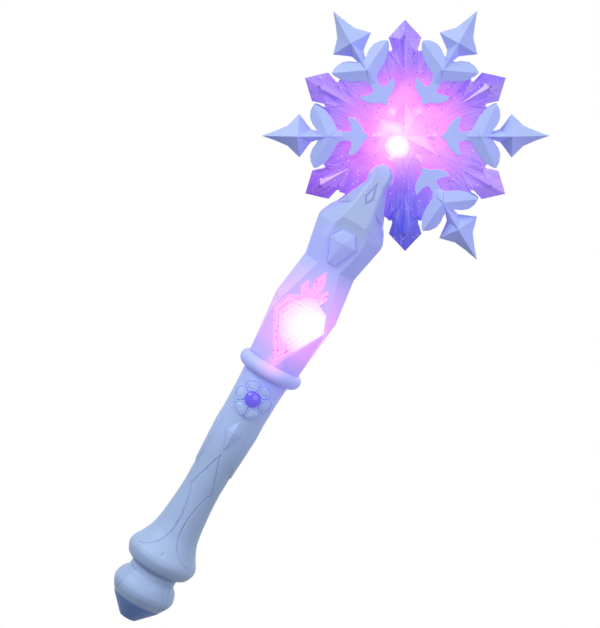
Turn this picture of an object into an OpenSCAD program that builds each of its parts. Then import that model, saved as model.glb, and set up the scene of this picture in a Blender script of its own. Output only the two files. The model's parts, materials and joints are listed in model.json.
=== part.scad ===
// Toy snowflake wand: hollow grip, collar, faceted shaft with a lit window, and a layered snowflake head.
// The wand stands along +Z and its front faces -Y. Stations are heights above the pommel's end.

/* [Whole wand] */
// Station of the hand's middle on the grip, where the frame has its origin
grip_mid = 99.1; // [80:0.1:110]
// Distance from the button's middle up to the collar ring
button_to_collar = 17.5; // [16.5:0.1:24]
// Distance from the collar ring up to the snowflake's middle
collar_to_head = 148.2; // [140:0.2:160]
// Wall of the handle and shaft shells
wall = 1.8; // [1.4:0.1:2.2]
// Gap between pieces that fit together
fit_gap = 0.1; // [0.06:0.01:0.15]

/* [Handle] */
// Radius of the small flat at the pommel's end
tip_r = 5; // [2:0.1:6]
// Station of the edge between the pommel's cone and its side
pommel_edge_station = 9.5; // [7:0.1:12]
// Radius at that edge
pommel_edge_r = 13.7; // [12:0.1:15]
// Station of the pommel's widest place
pommel_station = 18.6; // [17:0.1:21]
// Radius of the pommel
pommel_r = 18.2; // [16:0.1:20]
// Station of the groove above the pommel
groove_station = 29.2; // [27:0.1:31]
// Radius of the groove
groove_r = 13.8; // [12:0.1:15]
// Station of the flare's widest place
flare_station = 40; // [37:0.1:42]
// Radius of the flare
flare_r = 20.4; // [17:0.1:22]
// Radius of the grip's waist
waist_r = 10.6; // [9.6:0.1:12]
// Radius of the grip's upper swell
grip_r = 12.2; // [11:0.1:13.5]
// Radius of the shells' ends inside the collar ring
spigot_r = 13.8; // [12.8:0.1:14.6]
// Radius of the collar ring's round section
ring_tube_r = 4.3; // [3.6:0.1:5]
// Distance from the button's middle down to the lozenge stud's cross ridge
stud_drop = 21.5; // [19.5:0.1:26]
// Length of the lozenge stud
stud_len = 19.2; // [15:0.1:22]
// Width of the lozenge stud
stud_w = 8.5; // [6:0.1:10]
// How far the stud stands off the grip
stud_rise = 1.6; // [1:0.1:2.4]

/* [Shaft] */
// Half width of the knuckle, the shaft's widest place
shaft_half_w = 19.7; // [18.6:0.1:21]
// Half depth of the knuckle
shaft_half_d = 17; // [16:0.1:18.5]
// Length of the neck's tongues over the snowflake
tongue_len = 25; // [22:0.1:28]
// Height of the raised crystal's cross ridge above the collar
crystal_up = 82.1; // [79:0.1:85]
// Length of the raised crystal
crystal_len = 19.8; // [16:0.1:21]
// Width of the raised crystal
crystal_w = 15.8; // [12:0.1:17]
// How far the crystal stands off the knuckle
crystal_rise = 2.4; // [1.4:0.1:3.2]
// Half width of the window
window_half_w = 15.6; // [13:0.1:15.8]
// Length of the window's kite
window_kite_len = 38.3; // [33:0.1:39]
// Height of the crown of crystals over the kite
window_crown_len = 21.3; // [16:0.1:22]

/* [Snowflake] */
// Reach of the blue arms from the snowflake's middle
arm_reach = 78.1; // [74:0.1:84]
// Reach of the purple kites
kite_reach = 62.8; // [60:0.1:66]
// Distance from the middle to the web's straight edges
web_edge = 46; // [44:0.1:48]
// Half thickness of the lantern at its web
plate_half = 5; // [4.6:0.1:6]
// How far the kites' ridges stand off the web
kite_rise = 2.4; // [1.6:0.1:3]
// Reach of the raised star in the middle
star_reach = 19.3; // [16:0.1:20.5]
// How far the star stands off the web
star_rise = 3.2; // [2:0.1:4]
// Thickness of the arms' edges
arm_edge_t = 1.6; // [1.2:0.1:2.2]
// How far the arms' ridges stand above their edges
arm_rise = 2.6; // [1.6:0.1:3.4]
// Radius of the pegs that hold front and rear arms together
peg_r = 1.7; // [1.3:0.1:2.2]
// Radius of the lamp room inside the lantern
lamp_room_r = 20; // [17:0.1:24]

/* [Button] */
// Reach of the flower's petals
petal_reach = 10.7; // [9:0.1:11.4]
// Thickness of the flower
petal_t = 2.2; // [1.6:0.1:3]
// Radius of the button
button_r = 4.2; // [3.6:0.1:4.6]
// Height of the button's dome
button_dome = 1.4; // [1:0.1:1.8]
// Travel of the button
button_travel = 1.2; // [0.8:0.1:1.4]
// Side of the square switch
switch_side = 6; // [5:0.1:6.4]
// Radius of the switch's plunger
plunger_r = 1.7; // [1.2:0.1:2]

/* [Power] */
// Station of the battery bay's floor
bay_station = 38.1; // [36:0.1:40]
// Radius of a cell
cell_r = 5.25; // [5:0.05:5.6]
// Length of a cell with its nub
cell_len = 44.5; // [40:0.1:52]
// Length of the contact spring between its plate and the cell
spring_len = 3.8; // [3.4:0.1:4]
// Thickness of the contact plates
contact_t = 0.4; // [0.3:0.05:0.6]
// Width of the battery door
door_w = 13.2; // [12.4:0.1:14]
// Station of the battery door's lower end
door_station = 50.4; // [48:0.1:55]
// Gap around the battery door
door_gap = 0.35; // [0.25:0.01:0.5]

/* [Lamps] */
// Height of the lamp behind the window above the collar
shaft_lamp_up = 35.4; // [32:0.1:38]
// Distance of the head's lamp below the snowflake's middle
head_lamp_drop = 7.7; // [5:0.1:8.5]
// Radius of the lamps
lamp_r = 2.5; // [2:0.1:2.8]
// Thickness of the circuit boards
board_t = 1.6; // [1.2:0.1:1.8]
// Width of the circuit boards
board_w = 12; // [11.4:0.1:13]
// Radius of the leads
lead_r = 0.6; // [0.4:0.05:0.7]

/* [Screws] */
// Radius of the shell screws' heads
screw_head_r = 2.3; // [2:0.1:2.5]
// Radius of the shell screws' shanks
screw_r = 1.1; // [0.9:0.05:1.3]
// Length of the shell screws' shanks
screw_len = 12; // [10:0.1:12.5]
// Distance from the middle plane to the seat of the shell screws' heads
screw_seat = 6.5; // [6:0.1:7]
// Station of the pommel's screw
pommel_screw_station = 21; // [19:0.1:23]
// Height of the pair of screws below the window above the collar
shaft_screw_up = 14.4; // [12:0.1:16]
// Half the distance between that pair
shaft_screw_x = 9; // [8.6:0.1:9.4]
// Height of the knuckle's screw above the collar
knuckle_screw_up = 78.4; // [76:0.1:80]

/* [Hidden] */
$fn = 96;
overrun = 1;

blue = [0.66, 0.73, 0.92];
purple = [0.52, 0.38, 0.95];
steel = [0.75, 0.76, 0.78];
board_green = [0.16, 0.42, 0.25];

// Stations, worked out upwards from the battery bay
bay_wall = 1.5;
boss_r = 2.6;
button_flange_r = 5.2;
button_flange_t = 1.2;
spring_station = bay_station + contact_t;
cell_station = spring_station + spring_len;
bay_top = cell_station + cell_len * 2 + contact_t;
door_screw_station = bay_top + bay_wall + boss_r;
button_station = door_screw_station + boss_r + wall / 3 + button_flange_r;
collar_station = button_station + button_to_collar;
head_station = collar_station + collar_to_head;
stud_station = button_station - stud_drop;
crystal_station = collar_station + crystal_up;
shaft_lamp_station = collar_station + shaft_lamp_up;

// Profile of the handle: main knots, with soft knots as shares of the way between two main ones
waist_place_share = 0.379;
grip_place_share = 0.689;
pommel_shoulder_shares = [0.49, 0.31];
pommel_foot_shares = [0.86, 0.98];
groove_top_shares = [0.14, 0];
flare_foot_shares = [0.49, 0.72];
flare_top_shares = [0.184, 0.42];
grip_foot_shares = [0.333, 0.7];
grip_low_shares = [0.555, 0.86];
grip_top_shares = [0.585, 0.36];
knot_edge = [pommel_edge_station, pommel_edge_r];
knot_pommel = [pommel_station, pommel_r];
knot_groove = [groove_station, groove_r];
knot_flare = [flare_station, flare_r];
knot_waist = [mix(flare_station, collar_station, waist_place_share), waist_r];
knot_grip = [mix(flare_station, collar_station, grip_place_share), grip_r];
knot_collar = [collar_station, spigot_r];
handle_knots = [
    knot_edge,
    knot_pommel,
    part_way(knot_pommel, knot_groove, pommel_shoulder_shares),
    part_way(knot_pommel, knot_groove, pommel_foot_shares),
    part_way(knot_groove, knot_flare, groove_top_shares),
    part_way(knot_groove, knot_flare, flare_foot_shares),
    knot_flare,
    part_way(knot_flare, knot_waist, flare_top_shares),
    part_way(knot_flare, knot_waist, grip_foot_shares),
    part_way(knot_flare, knot_waist, grip_low_shares),
    knot_waist,
    knot_grip,
    part_way(knot_grip, knot_collar, grip_top_shares),
    knot_collar
];
knot_steps = 4;

// Sections of the shaft: share of its length, then half width, facet, half depth and side flat by share
shaft_shares = [
    [0, 0.772, 0.05, 0.8235, 0.3],
    [0.281, 0.907, 0.822, 0.8235, 0.41],
    [0.353, 0.949, 0.72, 0.8235, 0.35],
    [0.614, 0.772, 0.335, 0.8235, 0.3],
    [0.764, 0.921, 0.528, 0.91, 0.35],
    [0.847, 1, 0.528, 0.958, 0.41],
    [0.914, 0.843, 0.39, 1, 0.38],
    [0.964, 0.642, 0.355, 0.945, 0.36],
    [1, 0.6, 0.32, 0.905, 0.36]
];
// Sections of a tongue, in the same order, with its length as the first share's size
tongue_shares = [
    [0, 0.6, 0.32, 0.905, 0.42],
    [0.516, 0.315, 0.213, 0.75, 0.42],
    [0.692, 0.376, 0.225, 0.72, 0.42],
    [0.88, 0.3, 0.17, 0.66, 0.4],
    [1, 0.12, 0.07, 0.58, 0.36]
];
web_tooth_shares = [[1, 0.13], [1.02, 0.15], [0.985, 0.165], [1.005, 0.185], [0.97, 0.215]];
web_side = web_edge * (web_tooth_shares[4][0] * cos(30) + web_tooth_shares[4][1] * sin(30));
facet_inset_share = 0.4;
least_facet_share = 0.25;
shaft_base = collar_station + ring_tube_r;
ring_offset_share = 0.11;
neck_top = head_station - web_side - fit_gap;
shaft_len = neck_top - shaft_base;
face_depth = shaft_shares[1][3] * shaft_half_d;
ridge_row = 6;
ridge_station = station_of(ridge_row);
ridge_depth = shaft_shares[ridge_row][3] * shaft_half_d;
waist_row = 3;
knuckle_tilt = atan2(ridge_depth - face_depth, ridge_station - station_of(waist_row));

// Lozenge and crystal outlines as shares of their own length and width
crystal_shares = [[-0.667, -0.28], [-0.667, 0.28], [0, 1], [0.333, 0.47], [0.333, -0.47], [0, -1]];
stud_shares = [[-0.6, 0], [0, 1], [0.4, 0], [0, -1]];
stud_sink = wall / 2;

// Engraved lozenge on the neck
recess_shares = [[-0.36, 0], [0, 1], [0.64, 0], [0, -1]];
recess_len = 14.5;
recess_half_w = 2.6;
recess_depth = 0.5;
recess_station_share = 0.244;
recess_island_share = 0.62;

// Right half of the window, from the kite's foot to the crown's top, as shares of half width, kite and crown
window_kite_shares = [[0, 0], [1, 0.75], [0.76, 1]];
window_crown_shares = [[0.36, 0.14], [0.53, 0.34], [0.4, 0.6], [0.2, 0.36], [0.21, 0.66], [0, 1]];
window_foot = shaft_base + fit_gap;
lens_relief = 0.5;
lens_step_shares = [0.72, 0.78, 0.14];

// Outlines of an arm's spear, leaf and fork as shares of the arm's reach
spear_shares = [
    [1, 0], [0.905, 0.034], [0.82, 0.071], [0.738, 0.152], [0.683, 0.076], [0.66, 0.046], [0.542, 0]
];
spear_apex_share = 0.745;
leaf_shares = [
    [0.592, 0], [0.616, 0.049], [0.643, 0.085], [0.66, 0.13], [0.655, 0.18], [0.632, 0.2225], [0.603, 0.214],
    [0.555, 0.184], [0.514, 0.138], [0.486, 0.0845], [0.465, 0.044], [0.433, 0.031], [0.43, 0]
];
leaf_root_share = 0.53;
leaf_tip_shares = [0.632, 0.2225];
leaf_slope = 20;
fork_shares = [
    [0.38, 0], [0.38, 0.031], [0.371, 0.05], [0.378, 0.085], [0.396, 0.133], [0.362, 0.13],
    [0.326, 0.103], [0.3, 0.067], [0.286, 0.033], [0.243, 0]
];
stem_shares = [0.34, 0.46, 0.031];
mid_overlap = 0.2;
peg_place_share = 0.878;
peg_place = web_side * peg_place_share;
peg_depth_share = 0.7;
peg_depth = arm_edge_t * peg_depth_share;
arm_angles = [30, 90, 150, 210, 330];

// Outlines of the lantern's kites as shares of their reach
kite_shares = [[1, 0], [0.848, 0.142], [0.722, 0.101], [0.505, 0]];
kite_apex_share = 0.84;
kite_body_share = 0.5;
needle_shares = [[0.895, 0], [0.82, 0.062], [0.515, 0]];
rib_shares = [0.8, 0.07];
rib_root_share = 0.54;
relief_sink = 0.1;
rib_rise_share = 0.4;
kite_edge_t = 3;
star_inner_share = 0.52;
crystal_ring_shares = [[0.95, 0], [0.78, 0.15], [0.57, 0]];
crystal_ring_rise_share = 0.6;
star_edge = 0.5;
lamp_room_front = plate_half - wall + fit_gap;

// Tab of the lantern inside the neck
tab_half_w = 7;
tab_half_t = 4.2;
tab_len = 14;
tab_root_share = 0.2;
tab_channel_half_w = 5.6;
tab_channel_t = 3.2;

// Door, switch, boards and lamps
door_top = door_screw_station + boss_r + wall / 2;
door_screw_sink = 2.2;
door_floor = 1.2;
door_screw_seat = radius_at(door_screw_station) - door_screw_sink;
door_screw_head_h = 1.7;
door_screw_len = 6;
board_y = 1.4;
board_back = board_y + board_t;
lead_y = board_y + board_t / 2;
lead_x = 4.5;
button_board_len = 14.2;
button_board_station = door_screw_station + boss_r + wall / 3;
button_board_top = button_board_station + button_board_len;
switch_h = 4;
plunger_bore = 3;
plunger_spare_share = 0.4;
plunger_hold = plunger_bore - button_travel * (1 + plunger_spare_share);
button_stem_end = 5.8;
petal_shares = [0.43, 0.045, 1.25];
button_seat = radius_at(button_station);
button_face = button_seat + petal_t + fit_gap;
shaft_board_len = 22;
shaft_board_station = shaft_lamp_station - shaft_board_len / 2;
shaft_lamp_len = 6;
head_lamp_station = head_station - head_lamp_drop;
head_board_len = 14;
head_lamp_len = 1.6;
post_r = 1.8;
post_share = 0.3;
screw_head_h = 1.7;
screw_recess_gap = 0.2;
slot_shares = [1.1, 0.26, 0.8];
front_boss_r = 2.8;
rear_boss_r = 3.6;
cradle_t = 1.6;
cradle_shares = [0.3, 0.5, 0.75];
nub_r = 1.9;
nub_len = 0.8;
contact_r = 4.6;
contact_tab_w = 2;
contact_tab_x = 5.4;
battery_lead_x = 7.4;
battery_lead_r = 0.7;
battery_lead_y = 1.5;

// Contact spring: one round wire
spring_wire = 0.6;
spring_r = 3.2;
spring_turns = 3;
spring_rings = 8;
spring_sides = 6;

function mix(a, b, share) = a + (b - a) * share;
function part_way(a, b, shares) = [mix(a[0], b[0], shares[0]), mix(a[1], b[1], shares[1])];
function station_of(row) = shaft_base + shaft_shares[row][0] * shaft_len;

// Smooth curve through the handle's knots that never overshoots them
function secant(i) = (handle_knots[i + 1][1] - handle_knots[i][1]) / knot_span(i);
function blend_slopes(a, b) = a * b <= 0 ? 0 : 2 * a * b / (a + b);
function knot_slope(i) =
    i == 0 ? secant(0)
    : i == len(handle_knots) - 1 ? secant(i - 1)
    : blend_slopes(secant(i - 1), secant(i));
function knot_span(i) = handle_knots[i + 1][0] - handle_knots[i][0];
function curve(i, t) =
    (2 * t ^ 3 - 3 * t ^ 2 + 1) * handle_knots[i][1]
    + (t ^ 3 - 2 * t ^ 2 + t) * knot_span(i) * knot_slope(i)
    + (3 * t ^ 2 - 2 * t ^ 3) * handle_knots[i + 1][1]
    + (t ^ 3 - t ^ 2) * knot_span(i) * knot_slope(i + 1);
function radius_at(z) = [
    for (i = [0 : len(handle_knots) - 2])
        if (z >= handle_knots[i][0] && z <= handle_knots[i + 1][0])
            curve(i, (z - handle_knots[i][0]) / knot_span(i))
][0];
function handle_side(inset) = concat(
    [
        for (i = [0 : len(handle_knots) - 2])
            for (s = [0 : knot_steps - 1])
                [curve(i, s / knot_steps) - inset, handle_knots[i][0] + knot_span(i) * s / knot_steps]
    ],
    [[spigot_r - inset, collar_station]]
);

// Puts a piece that is written in stations into the wand's frame
module on_wand() translate([0, 0, -grip_mid]) children();
// Puts a flat drawing (across, along the wand, towards the viewer) on the front, at a station and a depth
module on_front(station, depth) translate([0, -depth, station]) rotate([90, 0, 0]) children();
module rear() mirror([0, 1, 0]) children();
// Round post along Y
module y_post(x, station, r, from, to)
    translate([x, from, station]) rotate([-90, 0, 0]) cylinder(r = r, h = to - from);
// Block given by its half width, its reach in Y and in stations
module y_block(half_w, from, to, low, high)
    translate([-half_w, from, low]) cube([half_w * 2, to - from, high - low]);

// Solid with upright sides from a base up to a rim of its own heights, and facets from the rim to one peak
module facet_solid(rim, peak, base) {
    n = len(rim);
    corners = concat([for (p = rim) [p[0], p[1], base]], rim, [[peak[0], peak[1], base], peak]);
    faces = [
        for (i = [0 : n - 1])
            let (j = (i + 1) % n)
                each [[2 * n, i, j], [i, n + i, n + j], [i, n + j, j], [2 * n + 1, n + j, n + i]]
    ];
    polyhedron(points = corners, faces = faces);
}

// Skin through closed rings of equal count, with flat ends
module loft(rings) {
    n = len(rings[0]);
    last = len(rings) - 1;
    corners = [for (r = rings) each r];
    sides = [
        for (k = [0 : last - 1])
            for (i = [0 : n - 1])
                let (j = (i + 1) % n, a = k * n, b = a + n)
                    each [[a + i, b + i, b + j], [a + i, b + j, a + j]]
    ];
    foot = [[for (i = [0 : n - 1]) i]];
    head = [[for (i = [n - 1 : -1 : 0]) last * n + i]];
    polyhedron(points = corners, faces = concat(sides, foot, head));
}

// Half width, facet, half depth and side flat of a section, set in by a wall
function section(row, inset) = [
    row[1] * shaft_half_w - inset,
    max(row[2] * shaft_half_w - inset * facet_inset_share, row[2] * shaft_half_w * least_facet_share),
    row[3] * shaft_half_d - inset,
    row[4] * shaft_half_d - inset * facet_inset_share
];
function front_ring(s, z, back) = [
    [-s[0], -back, z], [-s[0], -s[3], z], [-s[1], -s[2], z],
    [s[1], -s[2], z], [s[0], -s[3], z], [s[0], -back, z]
];
function whole_ring(s, z) = [
    [s[1], -s[2], z], [s[0], -s[3], z], [s[0], s[3], z], [s[1], s[2], z],
    [-s[1], s[2], z], [-s[0], s[3], z], [-s[0], -s[3], z], [-s[1], -s[2], z]
];

// Handle

module half_handle() {
    profile = concat([[0, 0], [tip_r, 0]], handle_side(0), [[0, collar_station]]);
    rotate([0, 0, 180]) rotate_extrude(angle = 180) polygon(profile);
}

module handle_hollow() {
    profile = concat(
        [[0, pommel_edge_station]],
        handle_side(wall),
        [[spigot_r - wall, collar_station + overrun], [0, collar_station + overrun]]
    );
    rotate_extrude() polygon(profile);
}

module handle_envelope(inset) {
    rotate_extrude() polygon(concat([[0, pommel_edge_station]], handle_side(inset), [[0, collar_station]]));
}

module bay_supports() {
    for (place = [bay_station - bay_wall, bay_top])
        y_block(flare_r, -flare_r, 0, place, place + bay_wall);
    for (s = cradle_shares)
        translate([0, 0, mix(bay_station, bay_top, s)]) y_block(flare_r, -flare_r, 0, 0, cradle_t);
}

module cell_room() {
    translate([0, 0, bay_station]) cylinder(r = cell_r + fit_gap, h = bay_top - bay_station);
    for (x = [-battery_lead_x, battery_lead_x])
        translate([x, -battery_lead_y, bay_station])
            cylinder(r = battery_lead_r + fit_gap, h = bay_top + bay_wall * 2 - bay_station);
}

module handle_front_shell() color(blue) on_wand() difference() {
    union() {
        difference() {
            half_handle();
            difference() {
                handle_hollow();
                bay_supports();
                y_post(0, pommel_screw_station, front_boss_r, -flare_r, 0);
            }
        }
        y_post(0, door_screw_station, boss_r, -(radius_at(door_screw_station) - wall / 2),
               door_screw_seat - door_floor - fit_gap);
        grip_stud();
    }
    cell_room();
    y_post(0, pommel_screw_station, screw_r, -(screw_len - screw_seat), overrun);
    y_post(0, door_screw_station, screw_r + fit_gap / 2, door_screw_seat - door_screw_len - overrun,
           door_screw_seat);
    y_post(0, button_station, button_r + fit_gap, -flare_r, -button_stem_end);
}

module grip_stud() {
    seat = radius_at(stud_station);
    rim = [for (s = stud_shares) [s[1] * stud_w / 2, s[0] * stud_len, 0]];
    on_front(stud_station, seat) facet_solid(rim, [0, 0, stud_rise], -stud_sink);
}

module handle_rear_shell() color(blue) on_wand() difference() {
    rear() half_handle();
    difference() {
        handle_hollow();
        y_post(0, pommel_screw_station, rear_boss_r, 0, flare_r);
        for (s = [post_share, 1 - post_share])
            y_post(0, mix(button_board_station, button_board_top, s), post_r, board_back, flare_r);
    }
    y_post(0, pommel_screw_station, screw_r, -overrun, flare_r);
    y_post(0, pommel_screw_station, screw_head_r + screw_recess_gap, screw_seat, flare_r);
    y_block(door_w / 2, 0, flare_r + overrun, door_station, door_top);
}

module battery_door() color(blue) on_wand() difference() {
    union() {
        intersection() {
            difference() {
                rear() half_handle();
                handle_hollow();
            }
            y_block(door_w / 2 - door_gap, 0, flare_r + overrun, door_station + door_gap,
                    door_top - door_gap);
        }
        y_post(0, door_screw_station, boss_r, door_screw_seat - door_floor,
               radius_at(door_screw_station) - wall / 2);
    }
    y_post(0, door_screw_station, screw_r + fit_gap / 2, 0, flare_r);
    y_post(0, door_screw_station, screw_head_r - screw_recess_gap, door_screw_seat, flare_r);
}

module door_screw() color(steel) on_wand() {
    difference() {
        y_post(0, door_screw_station, screw_head_r - screw_recess_gap - fit_gap / 2, door_screw_seat,
               door_screw_seat + door_screw_head_h);
        cross_slot(0, door_screw_station, door_screw_seat + door_screw_head_h);
    }
    y_post(0, door_screw_station, screw_r, door_screw_seat - door_screw_len,
           door_screw_seat + door_screw_head_h / 2);
}

// Cross recess of a screw head
module cross_slot(x, station, top) {
    slot_len = screw_head_r * slot_shares[0];
    slot_w = screw_head_r * slot_shares[1];
    slot_depth = screw_head_h * slot_shares[2];
    translate([x, top - screw_head_h / 2 + overrun / 2, station]) {
        cube([slot_len, slot_depth, slot_w], center = true);
        cube([slot_w, slot_depth, slot_len], center = true);
    }
}

module collar_ring() color(blue) on_wand() translate([0, 0, collar_station]) difference() {
    rotate_extrude() translate([spigot_r + ring_tube_r * ring_offset_share, 0]) circle(r = ring_tube_r);
    cylinder(r = spigot_r + fit_gap, h = ring_tube_r * 3, center = true);
}

// Shaft

module half_shaft() {
    loft([for (row = shaft_shares) front_ring(section(row, 0), shaft_base + row[0] * shaft_len, 0)]);
    loft([
        for (row = tongue_shares)
            front_ring(section(row, 0), neck_top + row[0] * tongue_len, plate_half + fit_gap)
    ]);
    translate([0, 0, collar_station]) intersection() {
        cylinder(r = spigot_r, h = ring_tube_r);
        translate([-spigot_r * 2, -spigot_r * 2, 0]) cube([spigot_r * 4, spigot_r * 2, ring_tube_r]);
    }
}

module shaft_hollow() {
    rows = [for (k = [0 : len(shaft_shares) - 2]) shaft_shares[k]];
    low = whole_ring(section(rows[0], wall), shaft_base - overrun);
    loft(concat([low], [for (row = rows) whole_ring(section(row, wall), shaft_base + row[0] * shaft_len)]));
    translate([0, 0, collar_station - overrun]) cylinder(r = spigot_r - wall, h = ring_tube_r + overrun);
}

shaft_screws = [
    [0, collar_station + knuckle_screw_up],
    [-shaft_screw_x, collar_station + shaft_screw_up],
    [shaft_screw_x, collar_station + shaft_screw_up]
];

module tab_slot()
    y_block(tab_half_w + fit_gap, -tab_half_t - fit_gap, tab_half_t + fit_gap, neck_top - tab_len,
            neck_top + overrun);

module window_outline() {
    right = concat(
        [for (s = window_kite_shares) [s[0] * window_half_w, s[1] * window_kite_len]],
        [for (s = window_crown_shares) [s[0] * window_half_w, window_kite_len + s[1] * window_crown_len]]
    );
    left = [for (k = [len(right) - 2 : -1 : 1]) [-right[k][0], right[k][1]]];
    polygon(concat(right, left));
}

module shaft_front_shell() color(blue) on_wand() difference() {
    union() {
        half_shaft();
        on_front(crystal_station, mix(face_depth, ridge_depth, (crystal_station - station_of(waist_row))
                 / (ridge_station - station_of(waist_row)))) rotate([knuckle_tilt, 0, 0]) knuckle_crystal();
    }
    difference() {
        shaft_hollow();
        for (s = shaft_screws)
            y_post(s[0], s[1], front_boss_r, -shaft_half_d, 0);
    }
    for (s = shaft_screws)
        y_post(s[0], s[1], screw_r, -(screw_len - screw_seat), overrun);
    tab_slot();
    on_front(window_foot, face_depth - wall - overrun) linear_extrude(wall + overrun * 2) window_outline();
    neck_recess();
}

module knuckle_crystal() {
    rim = [for (s = crystal_shares) [s[1] * crystal_w / 2, s[0] * crystal_len, crystal_rise / 2]];
    facet_solid(rim, [0, 0, crystal_rise], -wall / 2);
}

module neck_recess() {
    top = section(tongue_shares[1], 0)[2];
    foot = section(tongue_shares[0], 0)[2];
    span = tongue_shares[1][0] * tongue_len;
    rise = tongue_len * recess_station_share;
    outline = [for (s = recess_shares) [s[1] * recess_half_w, s[0] * recess_len]];
    on_front(neck_top + rise, mix(foot, top, rise / span)) rotate([-atan2(foot - top, span), 0, 0])
        translate([0, 0, -recess_depth]) linear_extrude(recess_depth + overrun) difference() {
            polygon(outline);
            polygon(outline * recess_island_share);
        }
}

module shaft_rear_shell() color(blue) on_wand() difference() {
    rear() half_shaft();
    difference() {
        shaft_hollow();
        for (s = shaft_screws)
            y_post(s[0], s[1], rear_boss_r, 0, shaft_half_d);
        for (s = [post_share, 1 - post_share])
            y_post(0, shaft_board_station + shaft_board_len * s, post_r, board_back, shaft_half_d);
    }
    for (s = shaft_screws) {
        y_post(s[0], s[1], screw_r, -overrun, shaft_half_d);
        y_post(s[0], s[1], screw_head_r + screw_recess_gap, screw_seat, shaft_half_d + overrun);
    }
    tab_slot();
}

module window_lens() color(purple) on_wand() on_front(window_foot, face_depth - wall) {
    linear_extrude(wall) offset(delta = -fit_gap) window_outline();
    step_w = window_half_w * lens_step_shares[0];
    step_len = window_kite_len * lens_step_shares[1];
    step_foot = window_kite_len * lens_step_shares[2];
    rim = [
        for (s = concat(window_kite_shares, [[-window_kite_shares[2][0], 1], [-1, window_kite_shares[1][1]]]))
            [s[0] * step_w, step_foot + s[1] * step_len, wall]
    ];
    facet_solid(rim, [0, step_foot + step_len * window_kite_shares[1][1], wall + lens_relief], wall / 2);
}

// Button and switch

module flower_outline() {
    petal_r = petal_reach * petal_shares[0];
    gap_w = petal_reach * petal_shares[1];
    difference() {
        union() {
            for (a = [0 : 60 : 300])
                rotate(a) translate([petal_reach - petal_r, 0]) circle(r = petal_r);
            circle(r = petal_reach - petal_r);
        }
        for (a = [30 : 60 : 330])
            rotate(a) translate([button_r * petal_shares[2], -gap_w / 2]) square([petal_reach, gap_w]);
    }
}

module flower_bezel() color(blue) on_wand() difference() {
    intersection() {
        on_front(button_station, 0) linear_extrude(flare_r) flower_outline();
        translate([0, 0, button_station - petal_reach * 2])
            cylinder(r = button_seat + petal_t, h = petal_reach * 4);
    }
    handle_envelope(-fit_gap);
    y_post(0, button_station, button_r + fit_gap, -flare_r, 0);
}

module button_gem() color(purple) on_wand() {
    dome_r = (button_r ^ 2 + button_dome ^ 2) / (2 * button_dome);
    flange_y = sqrt((button_seat - wall) ^ 2 - button_flange_r ^ 2) - fit_gap * 2;
    intersection() {
        translate([0, -button_face - button_dome + dome_r, button_station]) sphere(r = dome_r);
        y_post(0, button_station, button_r, -flare_r * 2, -button_stem_end);
    }
    y_post(0, button_station, button_flange_r, -flange_y, -flange_y + button_flange_t);
}

module switch_plunger() color([0.2, 0.2, 0.22]) on_wand()
    y_post(0, button_station, plunger_r, -button_stem_end, board_y - switch_h + plunger_hold);

module switch_housing() color([0.15, 0.15, 0.16]) on_wand() difference() {
    y_block(switch_side / 2, board_y - switch_h, board_y, button_station - switch_side / 2,
            button_station + switch_side / 2);
    y_post(0, button_station, plunger_r + fit_gap / 2, board_y - switch_h - overrun,
           board_y - switch_h + plunger_bore);
}

module button_board() color(board_green) on_wand()
    y_block(board_w / 2, board_y, board_back, button_board_station, button_board_top);

// Power

module cell(station) translate([0, 0, station]) {
    cylinder(r = cell_r, h = cell_len - nub_len);
    cylinder(r = nub_r, h = cell_len);
}

module battery_1() color([0.2, 0.24, 0.3]) on_wand() cell(cell_station);
module battery_2() color([0.2, 0.24, 0.3]) on_wand() cell(cell_station + cell_len);

module spring_plate() color(steel) on_wand() translate([0, 0, bay_station]) {
    cylinder(r = contact_r, h = contact_t);
    translate([0, -battery_lead_y - contact_tab_w / 2, 0])
        cube([battery_lead_x + battery_lead_r, contact_tab_w, contact_t]);
}

module top_contact() color(steel) on_wand() {
    translate([0, 0, bay_top - contact_t]) cylinder(r = contact_r, h = contact_t);
    translate([contact_tab_x - contact_tab_w, board_y - contact_t, bay_top - contact_t])
        cube([contact_tab_w, contact_t, button_board_station + contact_tab_w - bay_top + contact_t]);
}

function spring_point(k, side) =
    let (
        a = 360 * k / spring_rings,
        rise = mix(spring_wire / 2, spring_len - spring_wire / 2, k / (spring_rings * spring_turns)),
        b = 360 * side / spring_sides,
        r = spring_r + spring_wire / 2 * cos(b)
    ) [r * cos(a), r * sin(a), rise + spring_wire / 2 * sin(b)];
function spring_mid(k) =
    [spring_r * cos(360 * k / spring_rings), spring_r * sin(360 * k / spring_rings),
     mix(spring_wire / 2, spring_len - spring_wire / 2, k / (spring_rings * spring_turns))];
spring_count = spring_rings * spring_turns;
spring_least_gap = min([
    for (a = [0 : spring_count])
        for (b = [a + spring_rings / 2 : spring_count])
            norm(spring_mid(a) - spring_mid(b)) - spring_wire
]);
echo(spring_least_gap = spring_least_gap);

module contact_spring() color(steel) on_wand() translate([0, 0, spring_station])
    loft([for (k = [0 : spring_count]) [for (side = [spring_sides - 1 : -1 : 0]) spring_point(k, side)]]);

module battery_lead() color([0.75, 0.1, 0.1]) on_wand()
    translate([battery_lead_x, -battery_lead_y, bay_station + contact_t])
        cylinder(r = battery_lead_r, h = button_board_station - bay_station - contact_t);

// Lamps

module lamp(station, from, length) {
    y_post(0, station, lamp_r, from - length, from);
    intersection() {
        translate([0, from - length, station]) sphere(r = lamp_r);
        y_post(0, station, lamp_r * 2, from - length - lamp_r * 2, from - length / 2);
    }
}

module lead_pair(low, high)
    for (x = [-lead_x, lead_x])
        translate([x, lead_y, low]) cylinder(r = lead_r, h = high - low);

module shaft_led_board() color(board_green) on_wand()
    y_block(board_w / 2, board_y, board_back, shaft_board_station, shaft_board_station + shaft_board_len);

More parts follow.
